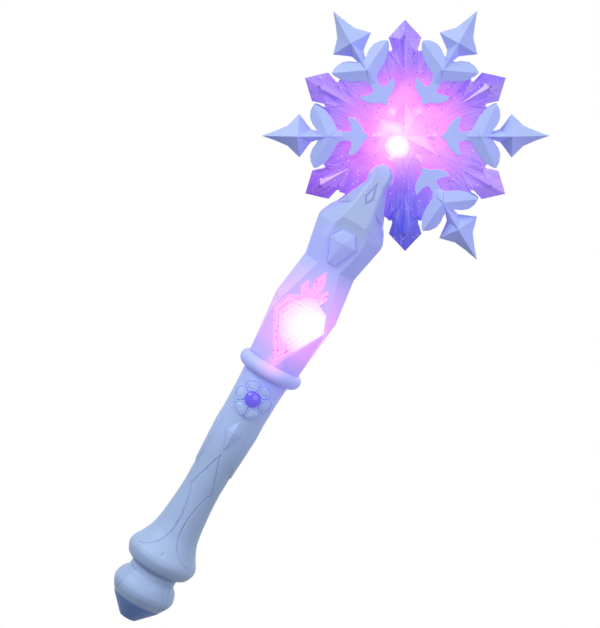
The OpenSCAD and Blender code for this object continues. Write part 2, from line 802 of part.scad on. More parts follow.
module shaft_led() color([0.95, 0.75, 0.95]) on_wand() lamp(shaft_lamp_station, board_y, shaft_lamp_len);

module shaft_leads() color([0.75, 0.1, 0.1]) on_wand() lead_pair(button_board_top, shaft_board_station);

module head_led_board() color(board_green) on_wand()
    y_block(board_w / 2, board_y, board_back, head_lamp_station - head_board_len / 2,
            head_lamp_station + head_board_len / 2);

module head_led() color([0.95, 0.75, 0.95]) on_wand() lamp(head_lamp_station, board_y, head_lamp_len);

module head_leads() color([0.75, 0.1, 0.1]) on_wand()
    lead_pair(shaft_board_station + shaft_board_len, head_lamp_station - head_board_len / 2);

// Snowflake

module web_outline() {
    corners = [
        for (a = [0 : 60 : 300])
            each concat(
                [for (k = [len(web_tooth_shares) - 1 : -1 : 0])
                    turned(a, web_tooth_shares[k][0], -web_tooth_shares[k][1])],
                [for (s = web_tooth_shares) turned(a, s[0], s[1])]
            )
    ];
    polygon(corners * web_edge);
}
function turned(a, along, across) = [along * cos(a) - across * sin(a), along * sin(a) + across * cos(a)];

module kite() {
    heights = [kite_edge_t, kite_edge_t, plate_half, plate_half];
    right = [for (k = [0 : 3]) [kite_shares[k][0] * kite_reach, kite_shares[k][1] * kite_reach, heights[k]]];
    left = [for (k = [2 : -1 : 1]) [right[k][0], -right[k][1], right[k][2]]];
    apex = kite_reach * kite_apex_share;
    facet_solid(concat(right, left), [apex, 0, plate_half + kite_rise * kite_body_share], 0);
    raised_lozenge(needle_shares, kite_reach, apex, kite_rise);
    root = rib_root_share * kite_reach;
    for (tooth = [web_tooth_shares[1], web_tooth_shares[3]])
        for (side = [-1, 1])
            rib([tooth[0] * web_edge - root, side * tooth[1] * web_edge], root);
}

// Lozenge on the web's face, from half of its outline in shares of a size
module raised_lozenge(shares, size, apex, rise) {
    side = [shares[1][0] * size, shares[1][1] * size];
    low = plate_half - relief_sink;
    rim = [
        [shares[0][0] * size, 0, low], [side[0], side[1], low],
        [shares[2][0] * size, 0, low], [side[0], -side[1], low]
    ];
    facet_solid(rim, [apex, 0, plate_half + rise], plate_half - wall / 2);
}

// Narrow ridge from a kite's root to a tooth of the web
module rib(tooth, root) {
    length = norm(tooth);
    half_shares = [[1, 0], rib_shares, [0, 0]];
    translate([root, 0, 0]) rotate(atan2(tooth[1], tooth[0]))
        raised_lozenge(half_shares, length, length * rib_shares[0], kite_rise * rib_rise_share);
}

module star() {
    rim = [
        for (k = [0 : 11])
            let (r = k % 2 == 0 ? star_reach : star_reach * star_inner_share)
                [r * cos(30 * k), r * sin(30 * k), plate_half + star_edge]
    ];
    facet_solid(rim, [0, 0, plate_half + star_rise], plate_half - wall / 2);
    for (a = [30 : 60 : 330])
        rotate(a) raised_lozenge(crystal_ring_shares, star_reach, star_reach * crystal_ring_shares[1][0],
                                 star_rise * crystal_ring_rise_share);
}

module neck_tab() translate([-tab_half_w, -web_side - tab_len, 0])
    cube([tab_half_w * 2, tab_len + web_edge * tab_root_share, tab_half_t]);

module tab_channel() translate([-tab_channel_half_w, -web_side - tab_len - overrun, -overrun])
    cube([tab_channel_half_w * 2, tab_len + overrun + web_side, tab_channel_t + overrun]);

// Half of the lantern, written flat with its face up, with a lamp room of a given depth
module half_lantern(room_depth) difference() {
    union() {
        linear_extrude(plate_half) web_outline();
        for (a = [0 : 60 : 300])
            rotate(a) kite();
        star();
        neck_tab();
    }
    translate([0, 0, -overrun]) cylinder(r = lamp_room_r, h = room_depth + overrun);
    tab_channel();
    for (a = arm_angles)
        rotate(a) translate([peg_place, 0, -overrun]) cylinder(r = peg_r + fit_gap, h = plate_half * 2);
}

module snowflake_front_shell() color(purple) on_wand() on_front(head_station, 0)
    half_lantern(lamp_room_front);
module snowflake_rear_shell() color(purple) on_wand() rear() on_front(head_station, 0)
    half_lantern(board_back);

// Half outline that starts and ends on the arm's middle line, and runs a little past it
module half_outline(shares)
    polygon([for (s = shares) [s[0] * arm_reach, s[1] == 0 ? -mid_overlap : s[1] * arm_reach]]);

// Roof whose ridge falls from the arm's middle to a leaf's tip
module leaf_roof() {
    across = (leaf_tip_shares[0] - leaf_root_share) * arm_reach;
    aside = leaf_tip_shares[1] * arm_reach;
    length = norm([across, aside]);
    eave = length * tan(leaf_slope);
    foot = -eave - arm_rise * 2;
    section = [[-length, foot], [length, foot], [length, -eave], [0, 0], [-length, -eave]];
    translate([leaf_root_share * arm_reach, 0, plate_half + arm_edge_t + arm_rise])
        rotate([0, atan2(arm_rise, length), atan2(aside, across)])
            rotate([90, 0, 90]) linear_extrude(length * 3, center = true) polygon(section);
}

module leaf() intersection() {
    translate([0, 0, plate_half]) linear_extrude(arm_edge_t + arm_rise) half_outline(leaf_shares);
    leaf_roof();
}

module spear() {
    right = [for (s = spear_shares) [s[0] * arm_reach, s[1] * arm_reach, arm_edge_t]];
    foot = len(right) - 1;
    tips = concat(right, [for (k = [foot - 1 : -1 : 1]) [right[k][0], -right[k][1], right[k][2]]]);
    top = plate_half + arm_edge_t + arm_rise;
    rim = [for (k = [0 : len(tips) - 1]) k == foot ? [tips[k][0], 0, top] : tips[k]];
    facet_solid(rim, [spear_apex_share * arm_reach, 0, top], 0);
}

module half_arm() {
    difference() {
        spear();
        linear_extrude(plate_half) translate([0, -web_edge / 2]) square([web_side + fit_gap, web_edge]);
    }
    for (side = [0, 1])
        mirror([0, side, 0]) {
            leaf();
            translate([0, 0, plate_half]) linear_extrude(arm_edge_t) half_outline(fork_shares);
        }
    translate([arm_reach * stem_shares[0], -arm_reach * stem_shares[2], plate_half])
        cube([arm_reach * (stem_shares[1] - stem_shares[0]), arm_reach * stem_shares[2] * 2, arm_edge_t]);
}

module arm_front(k) color(blue) on_wand() on_front(head_station, 0) rotate(arm_angles[k - 1]) {
    half_arm();
    translate([peg_place, 0, -plate_half - peg_depth])
        cylinder(r = peg_r, h = plate_half * 2 + peg_depth);
}

module arm_rear(k) color(blue) on_wand() rear() on_front(head_station, 0) rotate(arm_angles[k - 1])
    difference() {
        half_arm();
        translate([peg_place, 0, 0]) cylinder(r = peg_r + fit_gap, h = plate_half + peg_depth + fit_gap);
    }

module shell_screws() color(steel) on_wand()
    for (s = concat(shaft_screws, [[0, pommel_screw_station]])) {
        difference() {
            y_post(s[0], s[1], screw_head_r, screw_seat, screw_seat + screw_head_h);
            cross_slot(s[0], s[1], screw_seat + screw_head_h);
        }
        y_post(s[0], s[1], screw_r, screw_seat - screw_len, screw_seat + screw_head_h / 2);
    }

handle_front_shell();
handle_rear_shell();
shaft_front_shell();
shaft_rear_shell();
collar_ring();
window_lens();
flower_bezel();
button_gem();
switch_plunger();
switch_housing();
button_board();
battery_door();
door_screw();
battery_1();
battery_2();
contact_spring();
spring_plate();
top_contact();
battery_lead();
shaft_leads();
shaft_led_board();
shaft_led();
head_leads();
head_led_board();
head_led();
snowflake_front_shell();
snowflake_rear_shell();
arm_front(1);  // arm_front_1
arm_front(2);  // arm_front_2
arm_front(3);  // arm_front_3
arm_front(4);  // arm_front_4
arm_front(5);  // arm_front_5
arm_rear(1);  // arm_rear_1
arm_rear(2);  // arm_rear_2
arm_rear(3);  // arm_rear_3
arm_rear(4);  // arm_rear_4
arm_rear(5);  // arm_rear_5
shell_screws();
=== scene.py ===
import json
import math

import bmesh
import bpy
import numpy as np
from mathutils import Matrix, Vector
from mathutils.bvhtree import BVHTree


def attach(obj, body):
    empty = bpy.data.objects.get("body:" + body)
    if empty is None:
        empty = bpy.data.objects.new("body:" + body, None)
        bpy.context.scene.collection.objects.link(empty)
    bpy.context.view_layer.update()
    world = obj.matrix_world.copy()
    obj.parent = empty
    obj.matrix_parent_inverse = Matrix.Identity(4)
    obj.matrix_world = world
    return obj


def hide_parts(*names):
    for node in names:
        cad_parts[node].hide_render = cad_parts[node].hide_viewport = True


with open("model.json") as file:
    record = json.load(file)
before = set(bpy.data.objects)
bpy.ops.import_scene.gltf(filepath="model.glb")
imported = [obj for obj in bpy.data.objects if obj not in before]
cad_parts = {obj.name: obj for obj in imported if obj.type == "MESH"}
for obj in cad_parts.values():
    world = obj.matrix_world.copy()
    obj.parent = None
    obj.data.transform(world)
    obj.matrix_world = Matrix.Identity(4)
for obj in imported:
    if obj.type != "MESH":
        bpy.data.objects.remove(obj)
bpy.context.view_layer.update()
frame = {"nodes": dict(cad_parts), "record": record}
nodes = frame["nodes"]
record = frame["record"]
slots = {entry["node"]: entry["material_slot"] for entry in record["subparts"]}
scene = bpy.context.scene
mm = 0.001
gripMid = 0.0991  # height of the frame's origin above the pommel's end
print("frame loaded:", len(nodes), "nodes")


def atStation(station):  # mm above the pommel's end, as a height in the frame
    return station * mm - gripMid


# places that several pieces and materials share, in mm
wand = {
    "headStation": 309.9,
    "collarStation": 161.7,
    "buttonStation": 144.2,
    "buttonSeat": 12.36,
    "windowFoot": 166.1,
    "windowDepth": 14.0,
}


# shader helpers

def feed(tree, value, socket):  # links another node's output, or sets a fixed value
    if isinstance(value, bpy.types.NodeSocket):
        tree.links.new(value, socket)
    elif socket.type == "RGBA":
        socket.default_value = (*value, 1)
    else:
        socket.default_value = value


def mathNode(tree, operation, first, second=None, clamp=False):
    node = tree.nodes.new("ShaderNodeMath")
    node.operation = operation
    node.use_clamp = clamp
    feed(tree, first, node.inputs[0])
    if second is not None:
        feed(tree, second, node.inputs[1])
    return node.outputs[0]


def plus(tree, first, second):
    return mathNode(tree, "ADD", first, second)


def minus(tree, first, second, clamp=False):
    return mathNode(tree, "SUBTRACT", first, second, clamp)


def scaled(tree, value, share, clamp=False):
    return mathNode(tree, "MULTIPLY", value, share, clamp)


def larger(tree, first, second):
    return mathNode(tree, "MAXIMUM", first, second)


def excess(tree, value, limit, gain):  # what a value has over a limit, times a gain, kept from 0 to 1
    return scaled(tree, minus(tree, value, limit), gain, True)


def sumOfSquares(tree, first, second):
    return plus(tree, scaled(tree, first, first), scaled(tree, second, second))


def vectorNode(tree, operation, first, second):
    node = tree.nodes.new("ShaderNodeVectorMath")
    node.operation = operation
    feed(tree, first, node.inputs[0])
    feed(tree, second, node.inputs[1])
    return node.outputs["Value" if operation in ("DISTANCE", "DOT_PRODUCT") else "Vector"]


def apart(tree, vector):  # a vector's X, Y and Z
    node = tree.nodes.new("ShaderNodeSeparateXYZ")
    feed(tree, vector, node.inputs[0])
    return node.outputs


def noiseOf(tree, place, scale, detail):
    node = tree.nodes.new("ShaderNodeTexNoise")
    for name, value in (("Vector", place), ("Scale", scale), ("Detail", detail)):
        feed(tree, value, node.inputs[name])
    return node.outputs["Fac"]


def mixColour(tree, factor, first, second, blend="MIX"):
    node = tree.nodes.new("ShaderNodeMix")
    node.data_type = "RGBA"
    node.blend_type = blend
    feed(tree, factor, node.inputs[0])
    feed(tree, first, node.inputs[6])  # the node's sockets 6 and 7 are its colours
    feed(tree, second, node.inputs[7])
    return node.outputs[2]


def ramp(tree, factor, stops):
    node = tree.nodes.new("ShaderNodeValToRGB")
    elements = node.color_ramp.elements
    while len(elements) < len(stops):
        elements.new(0.5)
    for element, (place, colour) in zip(elements, stops):
        element.position = place
        element.color = (*colour, 1)
    feed(tree, factor, node.inputs[0])
    return node.outputs[0]


def srgb(red, green, blue):  # screen colour from 0 to 255, as a linear one
    def linear(value):
        value /= 255
        return value / 12.92 if value <= 0.04045 else ((value + 0.055) / 1.055) ** 2.4
    return linear(red), linear(green), linear(blue)


def newGroup(name, inputs, outputs):  # takes vectors and numbers, gives numbers
    group = bpy.data.node_groups.new(name, "ShaderNodeTree")
    for title, value in inputs.items():
        kind = "NodeSocketVector" if isinstance(value, tuple) else "NodeSocketFloat"
        socket = group.interface.new_socket(title, in_out="INPUT", socket_type=kind)
        socket.default_value = value
    for title in outputs:
        group.interface.new_socket(title, in_out="OUTPUT", socket_type="NodeSocketFloat")
    return group, group.nodes.new("NodeGroupInput").outputs, group.nodes.new("NodeGroupOutput").inputs


def placeGroup(tree, group, values):
    node = tree.nodes.new("ShaderNodeGroup")
    node.node_tree = group
    for name, value in values.items():
        feed(tree, value, node.inputs[name])
    return node.outputs


def objectPlace(tree):
    return tree.nodes.new("ShaderNodeTexCoord").outputs["Object"]


def makeLampGlow():  # 1 at a lamp, falling to 0 at its reach
    group, given, result = newGroup(
        "lampGlow", {"Place": (0, 0, 0), "Lamp": (0, 0, 0), "Reach": 0.05, "Falloff": 1.5}, ["Glow"])
    distance = vectorNode(group, "DISTANCE", given["Place"], given["Lamp"])
    nearness = minus(group, 1, mathNode(group, "DIVIDE", distance, given["Reach"]), True)
    feed(group, mathNode(group, "POWER", nearness, given["Falloff"]), result["Glow"])
    return group


def makeGlitter():  # scattered flakes, a share of them dark and a share bright
    group, given, result = newGroup(
        "glitter", {"Place": (0, 0, 0), "Density": 700, "Flake": 0.2, "Share": 0.3}, ["Dark", "Bright"])
    for name, shift in (("Dark", 0.0), ("Bright", 0.5)):
        cells = group.nodes.new("ShaderNodeTexVoronoi")
        feed(group, vectorNode(group, "ADD", given["Place"], (shift, shift, 0)), cells.inputs["Vector"])
        feed(group, given["Density"], cells.inputs["Scale"])
        channels = group.nodes.new("ShaderNodeSeparateColor")
        feed(group, cells.outputs["Color"], channels.inputs[0])
        inFlake = mathNode(group, "LESS_THAN", cells.outputs["Distance"], given["Flake"])
        chosen = mathNode(group, "LESS_THAN", channels.outputs[0], given["Share"])
        feed(group, scaled(group, inFlake, chosen), result[name])
    return group


def makeMouldSkin():  # faint orange peel and cloudy tone of moulded plastic
    group, given, result = newGroup(
        "mouldSkin", {"Place": (0, 0, 0), "Grain": 1800, "Cloud": 40}, ["Height", "Tone"])
    for name, size, detail in (("Height", "Grain", 2), ("Tone", "Cloud", 3)):
        feed(group, noiseOf(group, given["Place"], given[size], detail), result[name])
    return group


def makeStationFade():  # 1 between two heights, fading to 0 beyond them
    group, given, result = newGroup(
        "stationFade", {"Place": (0, 0, 0), "Low": 0, "High": 0.1, "Soft": 0.01}, ["Inside"])
    height = apart(group, given["Place"])["Z"]
    ways = [minus(group, height, given["Low"]), minus(group, given["High"], height)]
    both = [mathNode(group, "DIVIDE", way, given["Soft"], clamp=True) for way in ways]
    feed(group, scaled(group, *both), result["Inside"])
    return group


def makeFanStreaks():  # fine light streaks that run out from a middle, as in clear moulded crystal
    group, given, result = newGroup(
        "fanStreaks", {"Place": (0, 0, 0), "Middle": (0, 0, 0), "Count": 60, "Length": 40},
        ["Streak", "Away", "Angle"])
    parts = apart(group, vectorNode(group, "SUBTRACT", given["Place"], given["Middle"]))
    angle = mathNode(group, "ARCTAN2", parts["Z"], parts["X"])
    away = mathNode(group, "SQRT", sumOfSquares(group, parts["X"], parts["Z"]))
    place = group.nodes.new("ShaderNodeCombineXYZ")
    feed(group, scaled(group, angle, given["Count"]), place.inputs["X"])
    feed(group, scaled(group, away, given["Length"]), place.inputs["Y"])
    feed(group, noiseOf(group, place.outputs[0], 1, 3), result["Streak"])
    feed(group, away, result["Away"])
    feed(group, angle, result["Angle"])
    return group


def makeFaceTilt():  # how far a face turns away from straight forwards, and its turn along a given direction
    group, given, result = newGroup("faceTilt", {"Way": (0, 0, 1)}, ["Tilt", "Toward"])
    normal = group.nodes.new("ShaderNodeNewGeometry").outputs["True Normal"]
    flat = mathNode(group, "ABSOLUTE", apart(group, normal)["Y"])
    feed(group, minus(group, 1, flat, True), result["Tilt"])
    feed(group, vectorNode(group, "DOT_PRODUCT", normal, given["Way"]), result["Toward"])
    return group


lampGlow = makeLampGlow()
glitter = makeGlitter()
mouldSkin = makeMouldSkin()
stationFade = makeStationFade()
fanStreaks = makeFanStreaks()
faceTilt = makeFaceTilt()
print("shader groups made")


def lampFade(tree, place, lamp):  # a lamp is its side, depth, station and reach in mm, and its falloff
    side, depth, station, reach, falloff = lamp
    values = {"Lamp": (side * mm, depth * mm, atStation(station)), "Reach": reach * mm, "Falloff": falloff}
    return placeGroup(tree, lampGlow, {"Place": place, **values})["Glow"]


def spanFade(tree, place, span):  # a span is its low and high station and its soft end, in mm
    low, high, soft = span
    values = {"Low": atStation(low), "High": atStation(high), "Soft": soft * mm}
    return placeGroup(tree, stationFade, {"Place": place, **values})["Inside"]


def newMaterial(name, values):
    mat = bpy.data.materials.new(name)
    mat.use_nodes = True
    shader = mat.node_tree.nodes["Principled BSDF"]
    for title, value in values.items():
        feed(mat.node_tree, value, shader.inputs[title])
    return mat, mat.node_tree, shader


def addBump(tree, shader, height, bump):  # a bump is its strength and its height in mm
    node = tree.nodes.new("ShaderNodeBump")
    node.inputs["Strength"].default_value = bump[0]
    node.inputs["Distance"].default_value = bump[1] * mm
    feed(tree, height, node.inputs["Height"])
    feed(tree, node.outputs[0], shader.inputs["Normal"])


# pale blue plastic, with the lamps' light on it and through it

bluePlastic = {
    "pale": srgb(169, 189, 225),
    "lowPale": srgb(163, 189, 227),  # on the grip
    "deep": srgb(157, 178, 221),
    "underShade": srgb(88, 126, 196),  # painted shade below the pommel, on faces that turn downwards
    # painted shade in creases
    "creaseShade": srgb(104, 112, 206),
    "litWindow": srgb(250, 160, 252),
    "litHead": srgb(255, 120, 245),
    "through": (0.075, 0.042, 0.3),
    "gripGlow": (0.045, 0.05, 0.12),
    "armGlow": (0.012, 0.02, 0.1),
    "windowLamp": (3, -12, 188, 43, 0.9),
    "collarLamp": (0, -15.8, 168.2, 11, 1.0),
    "rimLamp": (0, -6, 303, 47, 0.8),
    "headLamp": (0, -6, 303, 85, 1.0),
    "armLamp": (0, 0, wand["headStation"], 75, 0.5),
    "neckLamp": (0, -6, 268, 40, 0.5),
    "tongueLamp": (0, -14, 270, 22, 0.5),
    "upperSpan": (128, 2000, 40),
    "shaftSpan": (162, 236, 16),
    "underShadeSpan": (-2000, 12.4, 1.4),
    "flowerSpan": (131, 157, 2),
    "bandSpan": (138, 254, 18),
    "gripSpan": (104, 164, 18),
    "sideLight": (0.48, 0.36, 0.14),  # the window's light everywhere, more on both sides, more on the right
    "collarShare": 0.5,
    "rimPower": 1.6,
    "rimDepth": -7.5,  # faces before this one have no rim
    "underShadeTurn": (0.25, 7),  # least turn downwards at which the painted shade starts, gain
    "creaseReach": 1.1,
    "creaseSamples": 8,
    "creaseOpen": (0.96, 1.3),  # openness below which the painted crease shade shows, gain
    "creaseShare": (0.65, 0.35),  # in general, and how much less round the button
    "throughShare": (0.1, 0.8, 0.85, 0.4),  # everywhere, near the head, in the band, taken off the tongue
    "litShare": 0.62,
    "finish": {"Roughness": 0.46, "Specular IOR Level": 0.35, "Emission Strength": 1.0,
               "Subsurface Weight": 0.12, "Subsurface Scale": 1.0,
               "Subsurface Radius": (0.001, 0.001, 0.002)},
    "bump": (0.1, 0.2),
}


def windowLight(tree, place, toRight, p):  # on the shaft and the collar
    everywhere, bothSides, right = p["sideLight"]
    share = plus(tree, scaled(tree, mathNode(tree, "ABSOLUTE", toRight), bothSides), everywhere)
    share = plus(tree, share, scaled(tree, toRight, right))
    shaft = scaled(tree, lampFade(tree, place, p["windowLamp"]), spanFade(tree, place, p["shaftSpan"]))
    collar = scaled(tree, lampFade(tree, place, p["collarLamp"]), p["collarShare"])
    return larger(tree, scaled(tree, shaft, share, True), collar)


def headRim(tree, place, tilt, p):  # the head's light on steep faces close to its web
    steep = mathNode(tree, "POWER", tilt, p["rimPower"])
    lit = scaled(tree, lampFade(tree, place, p["rimLamp"]), steep, True)
    return scaled(tree, lit, mathNode(tree, "GREATER_THAN", apart(tree, place)["Y"], p["rimDepth"] * mm))


def blueTone(tree, place, cloud, upper, p):  # the plastic's own colour, with painted shade on downward faces below the pommel and painted shade in creases
    tone = mixColour(tree, cloud, p["deep"], mixColour(tree, upper, p["lowPale"], p["pale"]))
    # painted shade on faces below the pommel that turn downwards
    downward = placeGroup(tree, faceTilt, {"Way": (0, 0, -1)})["Toward"]
    underShade = scaled(tree, excess(tree, downward, *p["underShadeTurn"]), spanFade(tree, place, p["underShadeSpan"]))
    tone = mixColour(tree, underShade, tone, p["underShade"])
    # painted shade in creases, found by ambient occlusion
    hollow = tree.nodes.new("ShaderNodeAmbientOcclusion")
    hollow.samples = p["creaseSamples"]
    hollow.inputs["Distance"].default_value = p["creaseReach"] * mm
    openness, gain = p["creaseOpen"]
    creaseShade = excess(tree, openness, hollow.outputs["AO"], gain)
    most, less = p["creaseShare"]
    share = minus(tree, most, scaled(tree, spanFade(tree, place, p["flowerSpan"]), less))
    return mixColour(tree, scaled(tree, creaseShade, share), tone, p["creaseShade"])


def throughLight(tree, place, toRight, upper, p):  # lamp light that comes through the walls
    everywhere, nearHead, inBand, onTongue = p["throughShare"]
    share = plus(tree, larger(tree, toRight, 0), everywhere)
    share = plus(tree, share, scaled(tree, lampFade(tree, place, p["headLamp"]), nearHead))
    share = plus(tree, share, scaled(tree, spanFade(tree, place, p["bandSpan"]), inBand))
    share = scaled(tree, share, upper, True)
    share = minus(tree, share, scaled(tree, lampFade(tree, place, p["tongueLamp"]), onTongue), True)
    light = mixColour(tree, share, (0, 0, 0), p["through"])
    light = mixColour(tree, spanFade(tree, place, p["gripSpan"]), light, p["gripGlow"], "ADD")
    onArm = minus(tree, lampFade(tree, place, p["armLamp"]), lampFade(tree, place, p["neckLamp"]), True)
    return mixColour(tree, onArm, light, p["armGlow"], "ADD")


def makeBluePlastic(p):
    mat, tree, shader = newMaterial("pale_blue_plastic_satin", {"Base Color": p["pale"], **p["finish"]})
    place = objectPlace(tree)
    skin = placeGroup(tree, mouldSkin, {"Place": place})
    tilt = placeGroup(tree, faceTilt, {"Way": (1, 0, 0)})
    upper = spanFade(tree, place, p["upperSpan"])
    lit = windowLight(tree, place, tilt["Toward"], p)
    rim = headRim(tree, place, tilt["Tilt"], p)
    tone = mixColour(tree, lit, blueTone(tree, place, skin["Tone"], upper, p), p["litWindow"])
    feed(tree, mixColour(tree, rim, tone, p["litHead"]), shader.inputs["Base Color"])
    glow = throughLight(tree, place, tilt["Toward"], upper, p)
    glow = mixColour(tree, scaled(tree, lit, p["litShare"]), glow, p["litWindow"])
    feed(tree, mixColour(tree, rim, glow, p["litHead"]), shader.inputs["Emission Color"])
    addBump(tree, shader, skin["Height"], p["bump"])
    return mat


# clear purple plastic of the head and the button, lit from within

purplePlastic = {
    # painted glow of the lamp within, from pink in the middle to purple outwards
    "rings": [(0.0, srgb(255, 180, 253)), (0.3, srgb(255, 140, 250)), (0.46, srgb(218, 120, 250)),
              (0.6, srgb(164, 110, 248)), (0.8, srgb(136, 104, 246)), (0.97, srgb(110, 92, 236))],
    "reach": 66,  # of the rings
    "sides": [  # degrees up from the right, colour, share
        (-60, srgb(58, 80, 226), 1.25),
        (-120, srgb(178, 80, 226), 0.55),
        (0, srgb(190, 150, 255), 0.65),
        (180, srgb(190, 150, 255), 0.45),
    ],
    "sidePowers": (0.6, 4),  # growth outwards, narrowness
    # pale streaks, and the painted light on facets
    "pale": srgb(246, 214, 255),
    "shade": srgb(92, 52, 190),
    "streakShade": srgb(92, 62, 236),
    "speck": srgb(76, 36, 150),
    "spark": srgb(246, 226, 255),
    "gem": srgb(100, 90, 244),
    "halo": srgb(255, 205, 253),
    "sparkle": srgb(255, 232, 254),
    "unlit": (0.58, 0.52, 0.66),  # share of the colour that needs no lamp
    "broadFan": {"Count": 22, "Length": 60},
    "fineFan": {"Count": 80, "Length": 90},
    "broadLine": (0.52, 3.5, 0.2),  # least, gain, share
    "fineLine": (0.5, 4, 0.22),
    "hollowLine": (0.5, 5, 0.55),
    "hollowFrom": (0.38, 4),  # share of the reach, gain
    "lightWay": (0.78, 0, 0.62),
    "facetGains": (2.2, -1.5),  # painted light and painted shade on facets
    "facetShares": (0.34, 0.08),
    "flakes": {"Density": 700, "Flake": 0.27, "Share": 0.1},
    "flakeShares": (0.7, 0.55),  # dark, bright
    "dot": (53.5, 0.8, 0.55),  # distance from the head's middle, radius, share
    "gemSpan": (-2000, 200, 10),
    "gemShares": (0.85, 0.4),  # colour, light
    "headLamp": (0, 0, wand["headStation"], 115, 0.75),
    "headGlow": 0.62,
    "hotLamp": (-0.8, -8.5, 302.8, 7.1, 0.4),
    "haloLamp": (-0.8, -8.5, 302.8, 20, 1.5),
    "haloShare": 0.7,
    "sparkles": [  # lamp, share
        ((-12.8, -8.5, 317.2, 5, 0.9), 0.6),
        ((-1.3, -8.5, 324.8, 5, 0.9), 0.55),
        ((-11.2, -8.5, 308.2, 6, 0.9), 0.75),
        ((-6.5, -8.5, 310.9, 5, 0.9), 0.6),
    ],
    "finish": {"Roughness": 0.24, "Emission Strength": 1.0, "Coat Weight": 0.3},
    "bump": (0.1, 0.3),
}


def purpleSides(tree, colour, away, angle, p):  # tints towards some sides, and the share of the first
    outward, narrow = p["sidePowers"]
    outer = mathNode(tree, "POWER", away, outward)
    shares = []
    for degrees, tone, most in p["sides"]:
        turned = mathNode(tree, "COSINE", minus(tree, angle, math.radians(degrees)))
        side = scaled(tree, mathNode(tree, "POWER", larger(tree, turned, 0), narrow), outer)
        colour = mixColour(tree, scaled(tree, side, most, True), colour, tone)
        shares.append(side)
    return colour, shares[0]


def purpleStreaks(tree, colour, away, fan, fine, calm, p):  # streaks, and painted light and painted shade on facets by their turn towards lightWay, less painted light where it is calm
    facing = placeGroup(tree, faceTilt, {"Way": p["lightWay"]})["Toward"]
    light, dark = [scaled(tree, facing, gain, True) for gain in p["facetGains"]]
    light = scaled(tree, light, minus(tree, 1, calm, True))
    lines = []
    for streak, (least, gain, share) in ((fine, p["fineLine"]), (fan, p["broadLine"])):
        lines.append(scaled(tree, excess(tree, streak, least, gain), share))
    most, gain, share = p["hollowLine"]
    hollow = scaled(tree, excess(tree, most, fan, gain), excess(tree, away, *p["hollowFrom"]))
    colour = mixColour(tree, scaled(tree, hollow, share), colour, p["streakShade"])
    lightShare, darkShare = p["facetShares"]
    # pale streaks, and painted light on facets that turn towards lightWay
    pale = larger(tree, larger(tree, *lines), scaled(tree, light, lightShare))
    colour = mixColour(tree, pale, colour, p["pale"])
    # painted shade on facets that turn away
    return mixColour(tree, scaled(tree, dark, darkShare), colour, p["shade"])


def purpleSpecks(tree, place, colour, fan, p):  # glitter, and a dark dot in each kite
    flakes = placeGroup(tree, glitter, {"Place": place, **p["flakes"]})
    darkShare, brightShare = p["flakeShares"]
    colour = mixColour(tree, scaled(tree, flakes["Dark"], darkShare), colour, p["speck"])
    colour = mixColour(tree, scaled(tree, flakes["Bright"], brightShare), colour, p["spark"])
    distance, radius, share = p["dot"]
    sixfold = mathNode(tree, "SINE", scaled(tree, fan["Angle"], 3))
    aside = scaled(tree, sixfold, scaled(tree, fan["Away"], 1 / 3))
    along = minus(tree, fan["Away"], distance * mm)
    dot = mathNode(tree, "LESS_THAN", sumOfSquares(tree, aside, along), (radius * mm) ** 2)
    return mixColour(tree, scaled(tree, dot, share), colour, p["speck"])


def makePurplePlastic(p):
    start = {"Base Color": p["rings"][-1][1], **p["finish"]}
    mat, tree, shader = newMaterial("purple_clear_plastic_lit", start)
    place = objectPlace(tree)
    middle = (0, 0, atStation(wand["headStation"]))
    fan = placeGroup(tree, fanStreaks, {"Place": place, "Middle": middle, **p["broadFan"]})
    fine = placeGroup(tree, fanStreaks, {"Place": place, "Middle": middle, **p["fineFan"]})
    away = mathNode(tree, "DIVIDE", fan["Away"], p["reach"] * mm, clamp=True)
    colour, first = purpleSides(tree, ramp(tree, away, p["rings"]), away, fan["Angle"], p)
    colour = purpleStreaks(tree, colour, away, fan["Streak"], fine["Streak"], first, p)
    colour = purpleSpecks(tree, place, colour, fan, p)
    gem = spanFade(tree, place, p["gemSpan"])
    gemShare, gemGlow = p["gemShares"]
    colour = mixColour(tree, scaled(tree, gem, gemShare), colour, p["gem"])
    feed(tree, mixColour(tree, 1.0, colour, p["unlit"], "MULTIPLY"), shader.inputs["Base Color"])
    near = scaled(tree, lampFade(tree, place, p["headLamp"]), p["headGlow"])
    inner = mixColour(tree, larger(tree, near, scaled(tree, gem, gemGlow)), (0, 0, 0), colour)
    halo = scaled(tree, lampFade(tree, place, p["haloLamp"]), p["haloShare"])
    inner = mixColour(tree, halo, inner, p["halo"])
    for lamp, share in p["sparkles"]:
        inner = mixColour(tree, scaled(tree, lampFade(tree, place, lamp), share), inner, p["sparkle"])
    inner = mixColour(tree, lampFade(tree, place, p["hotLamp"]), inner, (1, 1, 1))
    feed(tree, inner, shader.inputs["Emission Color"])
    addBump(tree, shader, fine["Streak"], p["bump"])
    return mat


# lit plastic of the window

windowPlastic = {
    "near": srgb(255, 240, 254),
    "pink": srgb(252, 182, 250),
    "deep": srgb(244, 138, 244),
    "speck": srgb(164, 62, 208),
    "unlit": (0.5, 0.4, 0.5),  # share of the colour that needs no lamp
    "hotLamp": (6.4, -14.5, 194, 16.5, 0.62),
    "wideLamp": (6.4, -14.5, 194, 42, 0.8),
    "edge": (2.0, 0.85),  # gain and share of the painted near-white glow on steep faces
    "flakes": {"Density": 480, "Flake": 0.27, "Share": 0.3},
    "flakeShare": 0.75,
    "finish": {"Roughness": 0.3, "Emission Strength": 0.8, "Coat Weight": 0.3},
}


